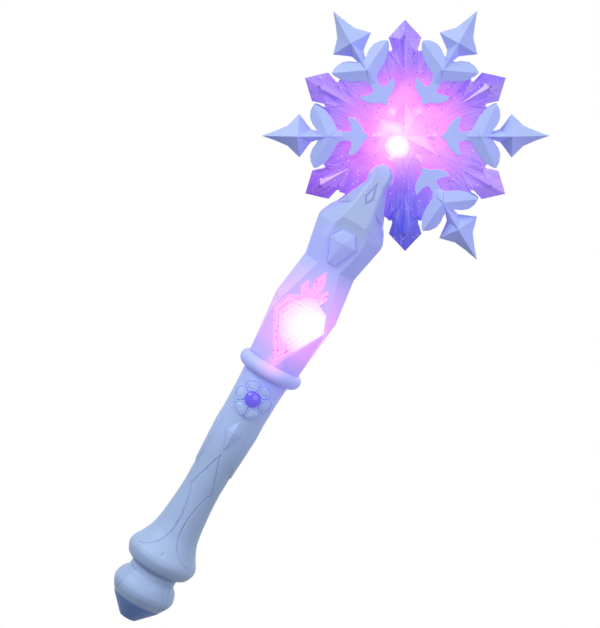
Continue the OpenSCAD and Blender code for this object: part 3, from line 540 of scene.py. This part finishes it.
def makeWindowPlastic(p):
    mat, tree, shader = newMaterial("window_plastic_lit", {"Base Color": p["pink"], **p["finish"]})
    place = objectPlace(tree)
    flakes = placeGroup(tree, glitter, {"Place": place, **p["flakes"]})
    tilt = placeGroup(tree, faceTilt, {"Way": (0, 0, 1)})
    gain, share = p["edge"]
    # painted near-white glow on steep faces
    edge = scaled(tree, scaled(tree, tilt["Tilt"], gain, True), share)
    colour = mixColour(tree, lampFade(tree, place, p["wideLamp"]), p["deep"], p["pink"])
    colour = mixColour(tree, edge, colour, p["near"])
    colour = mixColour(tree, scaled(tree, flakes["Dark"], p["flakeShare"]), colour, p["speck"])
    lit = mixColour(tree, lampFade(tree, place, p["hotLamp"]), colour, (1, 1, 1))
    feed(tree, mixColour(tree, 1.0, lit, p["unlit"], "MULTIPLY"), shader.inputs["Base Color"])
    feed(tree, lit, shader.inputs["Emission Color"])
    return mat


# plain materials of the small pieces

plain = {
    "cloud": 160.0,
    "darker": 0.72,
    "wear": 0.16,  # spread of the roughness
    "bump": (0.06, 0.2),
}


def makePlain(name, colour, roughness, metallic=0.0):
    start = {"Base Color": colour, "Roughness": roughness, "Metallic": metallic}
    mat, tree, shader = newMaterial(name, start)
    skin = placeGroup(tree, mouldSkin, {"Place": objectPlace(tree), "Cloud": plain["cloud"]})
    darker = tuple(c * plain["darker"] for c in colour)
    feed(tree, mixColour(tree, skin["Tone"], darker, colour), shader.inputs["Base Color"])
    worn = plus(tree, scaled(tree, skin["Tone"], plain["wear"]), roughness - plain["wear"] / 2)
    feed(tree, worn, shader.inputs["Roughness"])
    addBump(tree, shader, skin["Height"], plain["bump"])
    return mat


materials = {
    "pale_blue_plastic": makeBluePlastic(bluePlastic),
    "purple_clear_plastic": makePurplePlastic(purplePlastic),
    "window_plastic": makeWindowPlastic(windowPlastic),
    "black_plastic": makePlain("black_switch_plastic", srgb(40, 40, 44), 0.5),
    "circuit_board": makePlain("circuit_board_green", srgb(30, 100, 60), 0.45),
    "steel": makePlain("plated_steel", srgb(190, 192, 198), 0.28, 1.0),
    "cell_wrap": makePlain("cell_wrap_grey", srgb(60, 70, 90), 0.35),
    "red_lead": makePlain("red_lead_skin", srgb(180, 30, 30), 0.4),
    "lamp_resin": makePlain("lamp_resin", srgb(245, 220, 248), 0.15),
}
for node, slot in slots.items():
    mesh = nodes[node].data
    mesh.materials.clear()
    mesh.materials.append(materials[slot])
print("materials set")


# mesh helpers

weld = 2e-6  # corners closer than this become one


def placeMesh(name, mesh, material, smoothAngle=35):
    mesh.materials.clear()
    mesh.materials.append(material)
    mesh.shade_smooth()
    mesh.set_sharp_from_angle(angle=math.radians(smoothAngle))
    piece = bpy.data.objects.new(name, mesh)
    scene.collection.objects.link(piece)
    return piece


def makePiece(name, shape, material, smoothAngle=35):
    mesh = bpy.data.meshes.new(name)
    shape.to_mesh(mesh)
    shape.free()
    return placeMesh(name, mesh, material, smoothAngle)


def builtMesh(piece):  # a piece's mesh with its modifiers applied
    return bpy.data.meshes.new_from_object(piece.evaluated_get(bpy.context.evaluated_depsgraph_get()))


def standsFor(piece, node):  # rides with the node's body and hides it
    body = next(b for b, held in record["behaviour"]["bodies"].items() if node in held)
    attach(piece, body)
    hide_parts(node)


def turnOut(shape):  # all faces look outwards
    bmesh.ops.recalc_face_normals(shape, faces=shape.faces)


def everything(shape):
    return [*shape.verts, *shape.edges, *shape.faces]


def mirrorLeft(shape):  # the left half stands for both
    bmesh.ops.bisect_plane(shape, geom=everything(shape), plane_co=(0, 0, 0), plane_no=(1, 0, 0),
                           clear_outer=True)
    bmesh.ops.mirror(shape, geom=everything(shape), axis="X", merge_dist=weld)
    bmesh.ops.remove_doubles(shape, verts=shape.verts, dist=weld)
    turnOut(shape)


def solidCopy(node):
    shape = bmesh.new()
    shape.from_mesh(nodes[node].data)
    bmesh.ops.remove_doubles(shape, verts=shape.verts, dist=weld)
    return shape


def joinLoops(shape, places, capped):  # faces from each closed loop to the next, the ends capped or joined
    loops = [[shape.verts.new(place) for place in loop] for loop in places]
    for low, high in zip(loops, loops[1:] if capped else loops[1:] + loops[:1]):
        for k in range(len(low)):
            n = (k + 1) % len(low)
            shape.faces.new((low[k], low[n], high[n], high[k]))
    if capped:
        shape.faces.new(loops[0][::-1])
        shape.faces.new(loops[-1])


def solidFrom(places, capped=True):
    shape = bmesh.new()
    joinLoops(shape, places, capped)
    turnOut(shape)
    return shape


def roundShape(profile, count):  # closed solid turned about the wand's axis from (radius, height) pairs
    turns = [2 * math.pi * k / count for k in range(count)]
    return solidFrom([[(r * math.sin(t), -r * math.cos(t), z) for t in turns] for r, z in profile])


def combine(first, second, operation):  # one solid from two pieces, which are used up
    tool = first.modifiers.new("combine", "BOOLEAN")
    tool.object = second
    tool.operation = operation
    tool.solver = "MANIFOLD"
    mesh = builtMesh(first)
    first.modifiers.clear()
    first.data = mesh
    bpy.data.objects.remove(second)
    return first


# plastic shells with softened ridges

softShells = {
    "ridges": {  # rounding in mm, least angle, and bands: low and high station, nearest and farthest side
        "shaft": [(1.3, 7, [(226, 252, 8.2, 25), (250, 287, 2.9, 25)]),
                  (0.3, 7, [(229, 252, 0, 8.1)])],
        "arm": [(0.3, 14, [(160, 400, 0, 90)])],
        "snowflake": [],
    },
    "leftOut": ["shaft_led", "shaft_led_board"],
    "rayGap": 1e-5,  # rays that feel for hidden faces start this far off
    "matingTurn": -0.3,  # faces turned farther inwards are mating faces
    "flat": 0.5,  # degrees up to which the solid's triangles make one face
    "smooth": {"shaft_front_shell": 12, "other": 9},  # degrees up to which faces run together
    "mirrored": ["shaft_front_shell", "shaft_rear_shell"],  # their left half has the true facets
    "lift": 1.5,  # mm that the shaft crystal's middle stands out more than in the solid
    "liftStations": (236, 252),
}


def seenFaces(shape, outward, p):  # faces that nothing stands before, without the mating faces
    tree = BVHTree.FromBMesh(shape)
    seen = set()
    for face in shape.faces:
        start = face.calc_center_median_weighted() + face.normal * p["rayGap"]
        if face.normal.y * outward > p["matingTurn"] and tree.ray_cast(start, face.normal)[0] is None:
            seen.add(face)
    return seen


def inBand(edge, band):
    low, high, near, far = band
    heights = [v.co.z for v in edge.verts]
    sides = [abs(v.co.x) / mm for v in edge.verts]
    tall = atStation(low) <= min(heights) and max(heights) <= atStation(high)
    return tall and near <= min(sides) and max(sides) <= far


def roundRidges(shape, width, sharp, bands, seen):  # seen ridges that lie wholly in one of the bands
    ridges = [
        edge for edge in shape.edges
        if len(edge.link_faces) == 2 and all(face in seen for face in edge.link_faces)
        and edge.calc_face_angle_signed() > math.radians(sharp) and edge.calc_length() > width * 2
        and any(inBand(edge, band) for band in bands)
    ]
    bmesh.ops.bevel(shape, geom=ridges, offset=width, offset_type="OFFSET", segments=3, profile=0.5,
                    affect="EDGES", clamp_overlap=False, material=-1)
    bmesh.ops.dissolve_degenerate(shape, dist=weld, edges=shape.edges)


def liftCrystal(shape, p):
    low, high = [atStation(station) for station in p["liftStations"]]
    held = [v for v in shape.verts if low < v.co.z < high and abs(v.co.x) < mm]
    min(held, key=lambda v: v.co.y).co.y -= p["lift"] * mm


def makeSoftShells(p):
    for node, slot in slots.items():
        kind = node.split("_")[0]
        if kind not in p["ridges"] or node in p["leftOut"]:
            continue
        shape = solidCopy(node)
        if node in p["mirrored"]:
            mirrorLeft(shape)
        bmesh.ops.dissolve_limit(shape, angle_limit=math.radians(p["flat"]), verts=shape.verts,
                                 edges=shape.edges)
        if node == "shaft_front_shell":
            liftCrystal(shape, p)
        for width, sharp, bands in p["ridges"][kind]:
            seen = seenFaces(shape, 1 if "rear" in node else -1, p)
            roundRidges(shape, width * mm, sharp, bands, seen)
        smooth = p["smooth"].get(node, p["smooth"]["other"])
        standsFor(makePiece(node + "_soft", shape, materials[slot], smooth), node)


# turned and drilled pieces, with smooth round faces

roundPieces = {
    "nodes": ["handle_rear_shell", "collar_ring", "battery_door", "button_gem", "battery_1", "battery_2",
              "contact_spring", "battery_lead", "shaft_led", "head_led", "shell_screws", "door_screw"],
    "smooth": 28,
}


def makeRoundPieces(p):
    for node in p["nodes"]:
        standsFor(makePiece(node + "_smooth", solidCopy(node), materials[slots[node]], p["smooth"]), node)


# engraved front of the grip

grip = {
    "step": 0.42,
    "columns": 160,
    "endGap": 0.04,
    "feelTurn": 62,  # degrees from the front at which the handle's radius is felt
    "feelFrom": 50,
    "grooveWidth": 0.5,
    "grooveDepth": 0.5,
    "lines": [  # bent lines as start, middle and end, each a station and a distance from the middle
        ((107.6, 0.0), (95.9, 3.6), (84.0, 7.2)),
        ((84.2, 5.9), (72.5, 2.8), (62.0, 2.1)),
        ((62.0, 2.1), (50.5, 5.4), (42.6, 15.6)),
        ((28.6, 9.2), (21.5, 12.6), (13.5, 13.2)),
        ((28.6, 11.2), (21.5, 14.9), (13.5, 14.8)),
    ],
    "lineLimit": 0.97,  # share of the radius within which lines lie
    "dimples": [  # station, side, radius, depth
        (44.8, 0, 1.5, 0.58),
        (63.4, 2.3, 0.8, 0.5),
        (63.4, -2.3, 0.8, 0.5),
    ],
    "panelRise": 0.6,
    "panelEdge": (9.0, 0.5),  # distance from the middle, soft end
    "panelTop": (133, 9),  # station, soft end
    "panelFoot": (97, 0.8),
    "footCurve": (9, 3.2),  # rise and width of the foot's curve
    "seamFade": 0.12,  # turn over which the engraving ends at the rear half
    "seamGap": 0.001,
    "skin": 0.9,
    "skinOverlap": 0.3,
    "coreStep": 6,
    "coreRadius": 0.5,  # least
    "coreOver": 2,
    "coreSides": 96,
    "bore": (4.3, 30, 48),  # radius, length and sides of the button's hole
    "smooth": 50,
}


def handleRadii(p, stations):  # outer radius of the handle at each station, felt from the side
    mesh = nodes["handle_front_shell"].data
    tree = BVHTree.FromPolygons([v.co for v in mesh.vertices], [tuple(f.vertices) for f in mesh.polygons])
    turn = math.radians(p["feelTurn"])
    way = Vector((math.sin(turn), -math.cos(turn), 0))
    radii = []
    for station in stations:
        start = way * (p["feelFrom"] * mm) + Vector((0, 0, atStation(station)))
        hit = tree.ray_cast(start, -way)[0]
        radii.append(math.hypot(hit.x, hit.y) / mm)
    return np.array(radii)


def bentLine(start, middle, end, count=22):
    t = np.linspace(0, 1, count)[:, None]
    a, b, c = [np.array(point) for point in (start, middle, end)]
    return (1 - t) ** 2 * a + 2 * t * (1 - t) * (2 * b - (a + c) / 2) + t ** 2 * c


def lineDistance(along, across, path):  # least distance from each place to a path
    best = np.full(along.shape, 1e9)
    for start, end in zip(path, path[1:]):
        ds, da = end - start
        t = np.clip(((along - start[0]) * ds + (across - start[1]) * da) / (ds * ds + da * da), 0, 1)
        best = np.minimum(best, np.hypot(along - start[0] - t * ds, across - start[1] - t * da))
    return best


def bowl(gap, size):  # 1 in the middle, falling to 0 at its size
    return np.clip(1 - (gap / size) ** 2, 0, 1)


def panelShare(p, along, across, radius):  # 1 on the raised panels at the grip's sides
    edge, edgeSoft = p["panelEdge"]
    top, topSoft = p["panelTop"]
    foot, footSoft = p["panelFoot"]
    rise, width = p["footCurve"]
    edge = radius * np.arcsin(np.clip(edge / radius, -1, 1))
    foot = foot + rise * np.clip((edge + width - np.abs(across)) / width, 0, 1) ** 2
    inside = np.clip((np.abs(across) - edge) / edgeSoft, 0, 1)
    return inside * (np.clip((along - foot) / footSoft, 0, 1) * np.clip((top - along) / topSoft, 0, 1))


def gripRelief(p, along, turn, radius):  # height of the engraving over the plain handle, in mm
    across = turn * radius
    relief = np.zeros(along.shape)
    for line in p["lines"]:
        flat = bentLine(*line)
        held = np.interp(flat[:, 0], along[:, 0], radius[:, 0])
        arc = held * np.arcsin(np.clip(flat[:, 1] / held, -p["lineLimit"], p["lineLimit"]))
        for side in (1, -1):
            gap = lineDistance(along, across, np.column_stack((flat[:, 0], arc * side)))
            relief -= p["grooveDepth"] * bowl(gap, p["grooveWidth"])
    for station, side, size, depth in p["dimples"]:
        relief -= depth * bowl(np.hypot(along - station, across - side), size)
    return relief + p["panelRise"] * panelShare(p, along, across, radius)


def gripSkin(p, stations, radii):  # the front half as a closed solid, with its engraving
    turns = np.linspace(-math.pi / 2, math.pi / 2, p["columns"] + 1)
    along, turn = np.meshgrid(stations, turns, indexing="ij")
    radius = np.repeat(radii[:, None], len(turns), axis=1)
    fade = np.clip((math.pi / 2 - np.abs(turn)) / p["seamFade"], 0, 1)
    out = (radius + gripRelief(p, along, turn, radius) * fade) * mm
    gap = p["seamGap"] * mm
    return solidFrom([
        [(r * math.sin(t), -r * math.cos(t) - gap, atStation(station)) for r, t in zip(row, turns)]
        for station, row in zip(stations, out)
    ])


def gripCore(p, stations, radii, inset):  # plain turned solid that lies this far under the skin
    held = [*range(0, len(stations), p["coreStep"]), len(stations) - 1]
    widths = [max(radii[i] - inset, p["coreRadius"]) * mm for i in held]
    heights = [atStation(stations[i]) for i in held]
    heights[0] += inset * mm
    heights[-1] = atStation(wand["collarStation"] + p["coreOver"])
    return roundShape(list(zip(widths, heights)), p["coreSides"])


def makeGrip(p, material):
    stations = np.arange(p["endGap"], wand["collarStation"], p["step"])
    stations[-1] = wand["collarStation"] - p["endGap"]
    radii = handleRadii(p, stations)
    skin = makePiece("grip_front", gripSkin(p, stations, radii), material)
    core = makePiece("core", gripCore(p, stations, radii, p["skin"]), material)
    skin = combine(skin, core, "DIFFERENCE")
    radius, length, sides = p["bore"]
    bore = makePiece("bore", roundShape([(radius * mm, -length * mm), (radius * mm, 0)], sides), material)
    forwards = Matrix.Rotation(-math.pi / 2, 4, "X")
    bore.data.transform(Matrix.Translation((0, 0, atStation(wand["buttonStation"]))) @ forwards)
    skin = combine(skin, bore, "DIFFERENCE")
    inside = makePiece("inside", solidCopy("handle_front_shell"), material)
    core = makePiece("core", gripCore(p, stations, radii, p["skin"] - p["skinOverlap"]), material)
    skin = combine(skin, combine(inside, core, "INTERSECT"), "UNION")
    placed = placeMesh("handle_front_shell_engraved", skin.data, material, p["smooth"])
    bpy.data.objects.remove(skin)
    standsFor(placed, "handle_front_shell")


# lozenge stud on the grip

stud = {
    "station": 122.7,
    "depth": 12.1,
    "corners": [(0, -11.5), (4.25, 0), (0, 7.7), (-4.25, 0)],  # side and height in mm
    "rim": 0.05,
    "rise": 2.3,
    "sink": 1.3,
    "edge": 0.28,
    "smooth": 9,
}


def makeStud(p, material):
    shape = bmesh.new()

    def put(side, up, out):
        return shape.verts.new((side * mm, -(p["depth"] + out) * mm, atStation(p["station"]) + up * mm))

    low = [put(side, up, -p["sink"]) for side, up in p["corners"]]
    rim = [put(side, up, p["rim"]) for side, up in p["corners"]]
    peak = put(0, 0, p["rise"])
    shape.faces.new(low)
    for k in range(4):
        n = (k + 1) % 4
        shape.faces.new((low[k], low[n], rim[n], rim[k]))
        shape.faces.new((rim[k], rim[n], peak))
    turnOut(shape)
    ridges = [edge for edge in shape.edges if peak in edge.verts]
    bmesh.ops.bevel(shape, geom=ridges, offset=p["edge"] * mm, segments=2, profile=0.5, affect="EDGES")
    piece = makePiece("grip_stud", shape, material, p["smooth"])
    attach(piece, "wand")


# petals round the button

flower = {
    "petals": 6,
    "half": [(4.6, 2.4), (6.6, 3.58), (8.3, 4.5), (9.6, 4.1), (10.4, 2.7), (10.7, 1.2)],  # out, across
    "tip": 10.8,
    "levels": [(0, -0.6), (0, 2.1), (0.2, 2.3), (0.45, 2.3), (0.65, 1.88), (1, 1.88), (1.25, 2.25),
               (2.2, 2.4)],  # distance in from the outline, height
    "fullInset": 3.4,  # distance from the outline to the petal's middle
    "hubRadii": (4.35, 5.3),
    "hubHeights": (-0.6, 1.5),
    "hubSides": 72,
    "smooth": 40,
}


def cutCorners(points):  # a closed outline with softer corners
    pairs = zip(points, points[1:] + points[:1])
    return [a.lerp(b, share) for a, b in pairs for share in (0.25, 0.75)]


def petalShape(p):  # one petal lying flat: out along x, height along z
    half = [Vector((out, across, 0)) for out, across in p["half"]]
    other = [Vector((v.x, -v.y, 0)) for v in reversed(half)]
    outline = cutCorners([*half, Vector((p["tip"], 0, 0)), *other])
    middle = sum(outline, Vector()) / len(outline)
    loops = []
    for inset, height in p["levels"]:
        places = [middle + (v - middle) * (1 - inset / p["fullInset"]) for v in outline]
        loops.append([(v.x * mm, v.y * mm, height * mm) for v in places])
    return solidFrom(loops)


def hubShape(p):  # flat ring with square edges
    inner, outer = p["hubRadii"]
    low, high = p["hubHeights"]
    turns = [2 * math.pi * k / p["hubSides"] for k in range(p["hubSides"])]
    corners = [(inner, low), (outer, low), (outer, high), (inner, high)]
    loops = [[Vector((r * math.cos(t), r * math.sin(t), z)) * mm for t in turns] for r, z in corners]
    return solidFrom(loops, False)


def makeFlowerTree():  # petals set round a middle
    tree = bpy.data.node_groups.new("petalRing", "GeometryNodeTree")
    ports = {}
    for name, kind in (("Petal", "Object"), ("Count", "Int"), ("Finish", "Material")):
        socket = tree.interface.new_socket(name, in_out="INPUT", socket_type="NodeSocket" + kind)
        ports[name] = socket.identifier
    tree.interface.new_socket("Mesh", in_out="OUTPUT", socket_type="NodeSocketGeometry")
    given = tree.nodes.new("NodeGroupInput").outputs
    ring = tree.nodes.new("GeometryNodeMeshCircle")
    ring.inputs["Radius"].default_value = 0
    feed(tree, given["Count"], ring.inputs["Vertices"])
    petal = tree.nodes.new("GeometryNodeObjectInfo")
    feed(tree, given["Petal"], petal.inputs["Object"])
    step = mathNode(tree, "DIVIDE", 2 * math.pi, given["Count"])
    turn = tree.nodes.new("ShaderNodeCombineXYZ")
    index = tree.nodes.new("GeometryNodeInputIndex").outputs[0]
    feed(tree, mathNode(tree, "MULTIPLY", index, step), turn.inputs["Z"])
    placed = tree.nodes.new("GeometryNodeInstanceOnPoints")
    feed(tree, ring.outputs["Mesh"], placed.inputs["Points"])
    feed(tree, petal.outputs["Geometry"], placed.inputs["Instance"])
    feed(tree, turn.outputs[0], placed.inputs["Rotation"])
    realize = tree.nodes.new("GeometryNodeRealizeInstances")
    feed(tree, placed.outputs[0], realize.inputs[0])
    finish = tree.nodes.new("GeometryNodeSetMaterial")
    feed(tree, realize.outputs[0], finish.inputs["Geometry"])
    feed(tree, given["Finish"], finish.inputs["Material"])
    feed(tree, finish.outputs[0], tree.nodes.new("NodeGroupOutput").inputs[0])
    return tree, ports


def makeFlower(p, material):
    petal = makePiece("petal", petalShape(p), material)
    hub = makePiece("hub", hubShape(p), material)
    tree, ports = makeFlowerTree()
    mod = hub.modifiers.new("petals", "NODES")
    mod.node_group = tree
    for name, value in (("Petal", petal), ("Count", p["petals"]), ("Finish", material)):
        mod[ports[name]] = value
    petals = builtMesh(hub)
    hub.modifiers.remove(mod)
    shape = bmesh.new()
    shape.from_mesh(petals)
    shape.from_mesh(hub.data)
    seat = wand["buttonSeat"] * mm
    for v in shape.verts:  # wraps the flat ring round the grip
        across, up, height = v.co
        depth = math.sqrt((seat + height) ** 2 - across ** 2)
        v.co = (across, -depth, atStation(wand["buttonStation"]) + up)
    turnOut(shape)
    bpy.data.objects.remove(petal)
    bpy.data.objects.remove(hub)
    standsFor(makePiece("flower_bezel_petals", shape, material, p["smooth"]), "flower_bezel")


# clear window with nested crystal ribs

window = {
    "halfWidth": 15.5,
    "kiteLength": 38.3,
    "crownLength": 21.3,
    "kite": [(0, 0), (1, 0.75), (0.76, 1), (-0.76, 1), (-1, 0.75)],
    "nests": [0.9, 0.72, 0.54, 0.36, 0.19],
    "nestMiddle": (0, 0.66),
    "gems": [(0, 0.55, 0.15, 0.36), (0.4, 0.36, 0.1, 0.2), (-0.4, 0.36, 0.1, 0.2)],  # side, up, half sizes
    "ribWidth": 0.75,
    "ribSpan": (-0.4, 0.5),  # heights of its foot and top over the window's face
    "ribTop": (0.3, 0.7),  # shares of its width between which it is flat
    "gemRib": 0.525,
    "spokeHalf": 0.3,
    "spokeReach": 0.96,
    "spokeRib": 0.375,
    "spokeSpan": (-0.4, 0.4),
    "smooth": 20,
}


def onWindow(place, height):  # side and rise on the window in mm, and height over its face
    return place.x * mm, -(wand["windowDepth"] + height) * mm, atStation(wand["windowFoot"] + place.y)


def ribLoop(shape, points, width, span):  # closed raised line along an outline
    low, high = span
    start, end = window["ribTop"]
    middle = sum(points, Vector((0, 0))) / len(points)
    loops = []
    for inset, height in ((0, low), (start, high), (end, high), (1, low)):
        places = [point + (middle - point).normalized() * width * inset for point in points]
        loops.append([onWindow(place, height) for place in places])
    joinLoops(shape, loops, False)


def makeWindow(p, material):
    shape = solidCopy("window_lens")
    wide, tall, crown = p["halfWidth"], p["kiteLength"], p["crownLength"]
    middle = Vector((p["nestMiddle"][0] * wide, p["nestMiddle"][1] * tall))
    kite = [Vector((side * wide, up * tall)) for side, up in p["kite"]]
    for share in p["nests"]:
        ribLoop(shape, [middle + (corner - middle) * share for corner in kite], p["ribWidth"], p["ribSpan"])
    for side, up, halfWide, halfTall in p["gems"]:
        spot = Vector((side * wide, tall + up * crown))
        right = Vector((halfWide * wide, 0))
        rise = Vector((0, halfTall * crown))
        ribLoop(shape, [spot - rise, spot + right, spot + rise, spot - right], p["gemRib"], p["ribSpan"])
    for side in (-1, 1):  # spokes from the kite's middle to its corners
        for corner in kite[1:3]:
            end = Vector((corner.x * side, corner.y))
            across = Vector((middle.y - end.y, end.x - middle.x)).normalized() * p["spokeHalf"]
            end *= p["spokeReach"]
            ribLoop(shape, [middle + across, middle - across, end - across, end + across],
                    p["spokeRib"], p["spokeSpan"])
    turnOut(shape)
    standsFor(makePiece("window_lens_ribbed", shape, material, p["smooth"]), "window_lens")


makeSoftShells(softShells)
print("shells softened")
makeRoundPieces(roundPieces)
makeGrip(grip, materials["pale_blue_plastic"])
makeStud(stud, materials["pale_blue_plastic"])
print("grip engraved")
makeFlower(flower, materials["pale_blue_plastic"])
makeWindow(window, materials["window_plastic"])
print("flower and window made")


# camera as in the photograph

view = {
    "aim": (-0.00106, 0, 0.0971),
    "elevation": 8,
    "lean": 30,
    "distance": 1.6,
    "frameWidth": 0.3294,
    "sensor": 36,
}


def viewAxes(p):  # picture's right, up and towards the viewer, in the frame
    elevation, lean = math.radians(p["elevation"]), math.radians(p["lean"])
    back = Vector((0, -math.cos(elevation), math.sin(elevation)))
    side = Vector((1, 0, 0))
    right = side * math.cos(lean) + back.cross(side) * math.sin(lean)
    return right, back.cross(right), back


def placeCamera(p):
    right, up, back = viewAxes(p)
    data = bpy.data.cameras.new("camera")
    data.sensor_fit = "HORIZONTAL"
    data.sensor_width = p["sensor"]
    data.lens = p["sensor"] * p["distance"] / p["frameWidth"]
    camera = bpy.data.objects.new("camera", data)
    scene.collection.objects.link(camera)
    turn = Matrix((right, up, back)).transposed().to_4x4()
    camera.matrix_world = Matrix.Translation(Vector(p["aim"]) + back * p["distance"]) @ turn
    scene.camera = camera


# lamps, sky and floor

studio = {
    "lamps": [  # name, share of picture right, up and back, size, power
        ("key", (-0.7, 1.0, 0.7), 0.7, 11.5),
        ("fill", (0.35, 0.1, 1.0), 1.2, 7),
        ("behind", (0.5, 0.6, -1.0), 1.0, 6),
    ],
    "reach": 1.5,
    "ambient": 0.48,
    "skyShare": 0.55,  # how much lighter the sky is above than at the sides
    "floorDrop": 0.35,
    "floorHalf": 6,
    "floorColour": (0.09, 0.09, 0.1),
    "floorRoughness": 0.7,
}


def showWhite(tree, plainShader, whiteShader, output):  # white for rays that a viewer follows
    path = tree.nodes.new("ShaderNodeLightPath").outputs
    seen = larger(tree, path["Is Camera Ray"], path["Is Glossy Ray"])
    seen = larger(tree, seen, path["Is Transmission Ray"])
    chooser = tree.nodes.new("ShaderNodeMixShader")
    for value, socket in zip((seen, plainShader.outputs[0], whiteShader.outputs[0]), chooser.inputs):
        feed(tree, value, socket)
    feed(tree, chooser.outputs[0], output.inputs[0])


def makeLamps(p):
    axes = viewAxes(view)
    for name, shares, size, power in p["lamps"]:
        data = bpy.data.lights.new(name, "AREA")
        data.size = size
        data.energy = power
        lamp = bpy.data.objects.new(name, data)
        scene.collection.objects.link(lamp)
        direction = sum((axis * share for axis, share in zip(axes, shares)), Vector()).normalized()
        lamp.location = Vector(view["aim"]) + direction * p["reach"]
        lamp.rotation_euler = direction.to_track_quat("Z", "Y").to_euler()


def makeSky(p):
    world = bpy.data.worlds.new("studio")
    scene.world = world
    world.use_nodes = True
    tree = world.node_tree
    sky = tree.nodes["Background"]
    way = tree.nodes.new("ShaderNodeTexCoord").outputs["Generated"]
    rise = scaled(tree, vectorNode(tree, "DOT_PRODUCT", way, (0, 0, 1)), p["skyShare"] * p["ambient"])
    feed(tree, plus(tree, rise, p["ambient"]), sky.inputs["Strength"])
    white = tree.nodes.new("ShaderNodeBackground")
    for shader in (sky, white):
        feed(tree, (1, 1, 1), shader.inputs["Color"])
    showWhite(tree, sky, white, tree.nodes["World Output"])


def makeFloor(p):
    mesh = bpy.data.meshes.new("floor")
    half = p["floorHalf"]
    corners = [(-half, -half), (half, -half), (half, half), (-half, half)]
    mesh.from_pydata([(x, y, -gripMid - p["floorDrop"]) for x, y in corners], [], [(0, 1, 2, 3)])
    floor = bpy.data.objects.new("floor", mesh)
    scene.collection.objects.link(floor)
    finish = {"Base Color": p["floorColour"], "Roughness": p["floorRoughness"]}
    mat, tree, shader = newMaterial("floor_white", finish)
    showWhite(tree, shader, tree.nodes.new("ShaderNodeEmission"), tree.nodes["Material Output"])
    mesh.materials.append(mat)


placeCamera(view)
makeLamps(studio)
makeSky(studio)
makeFloor(studio)
scene.view_settings.view_transform = "Standard"
print("stage set")
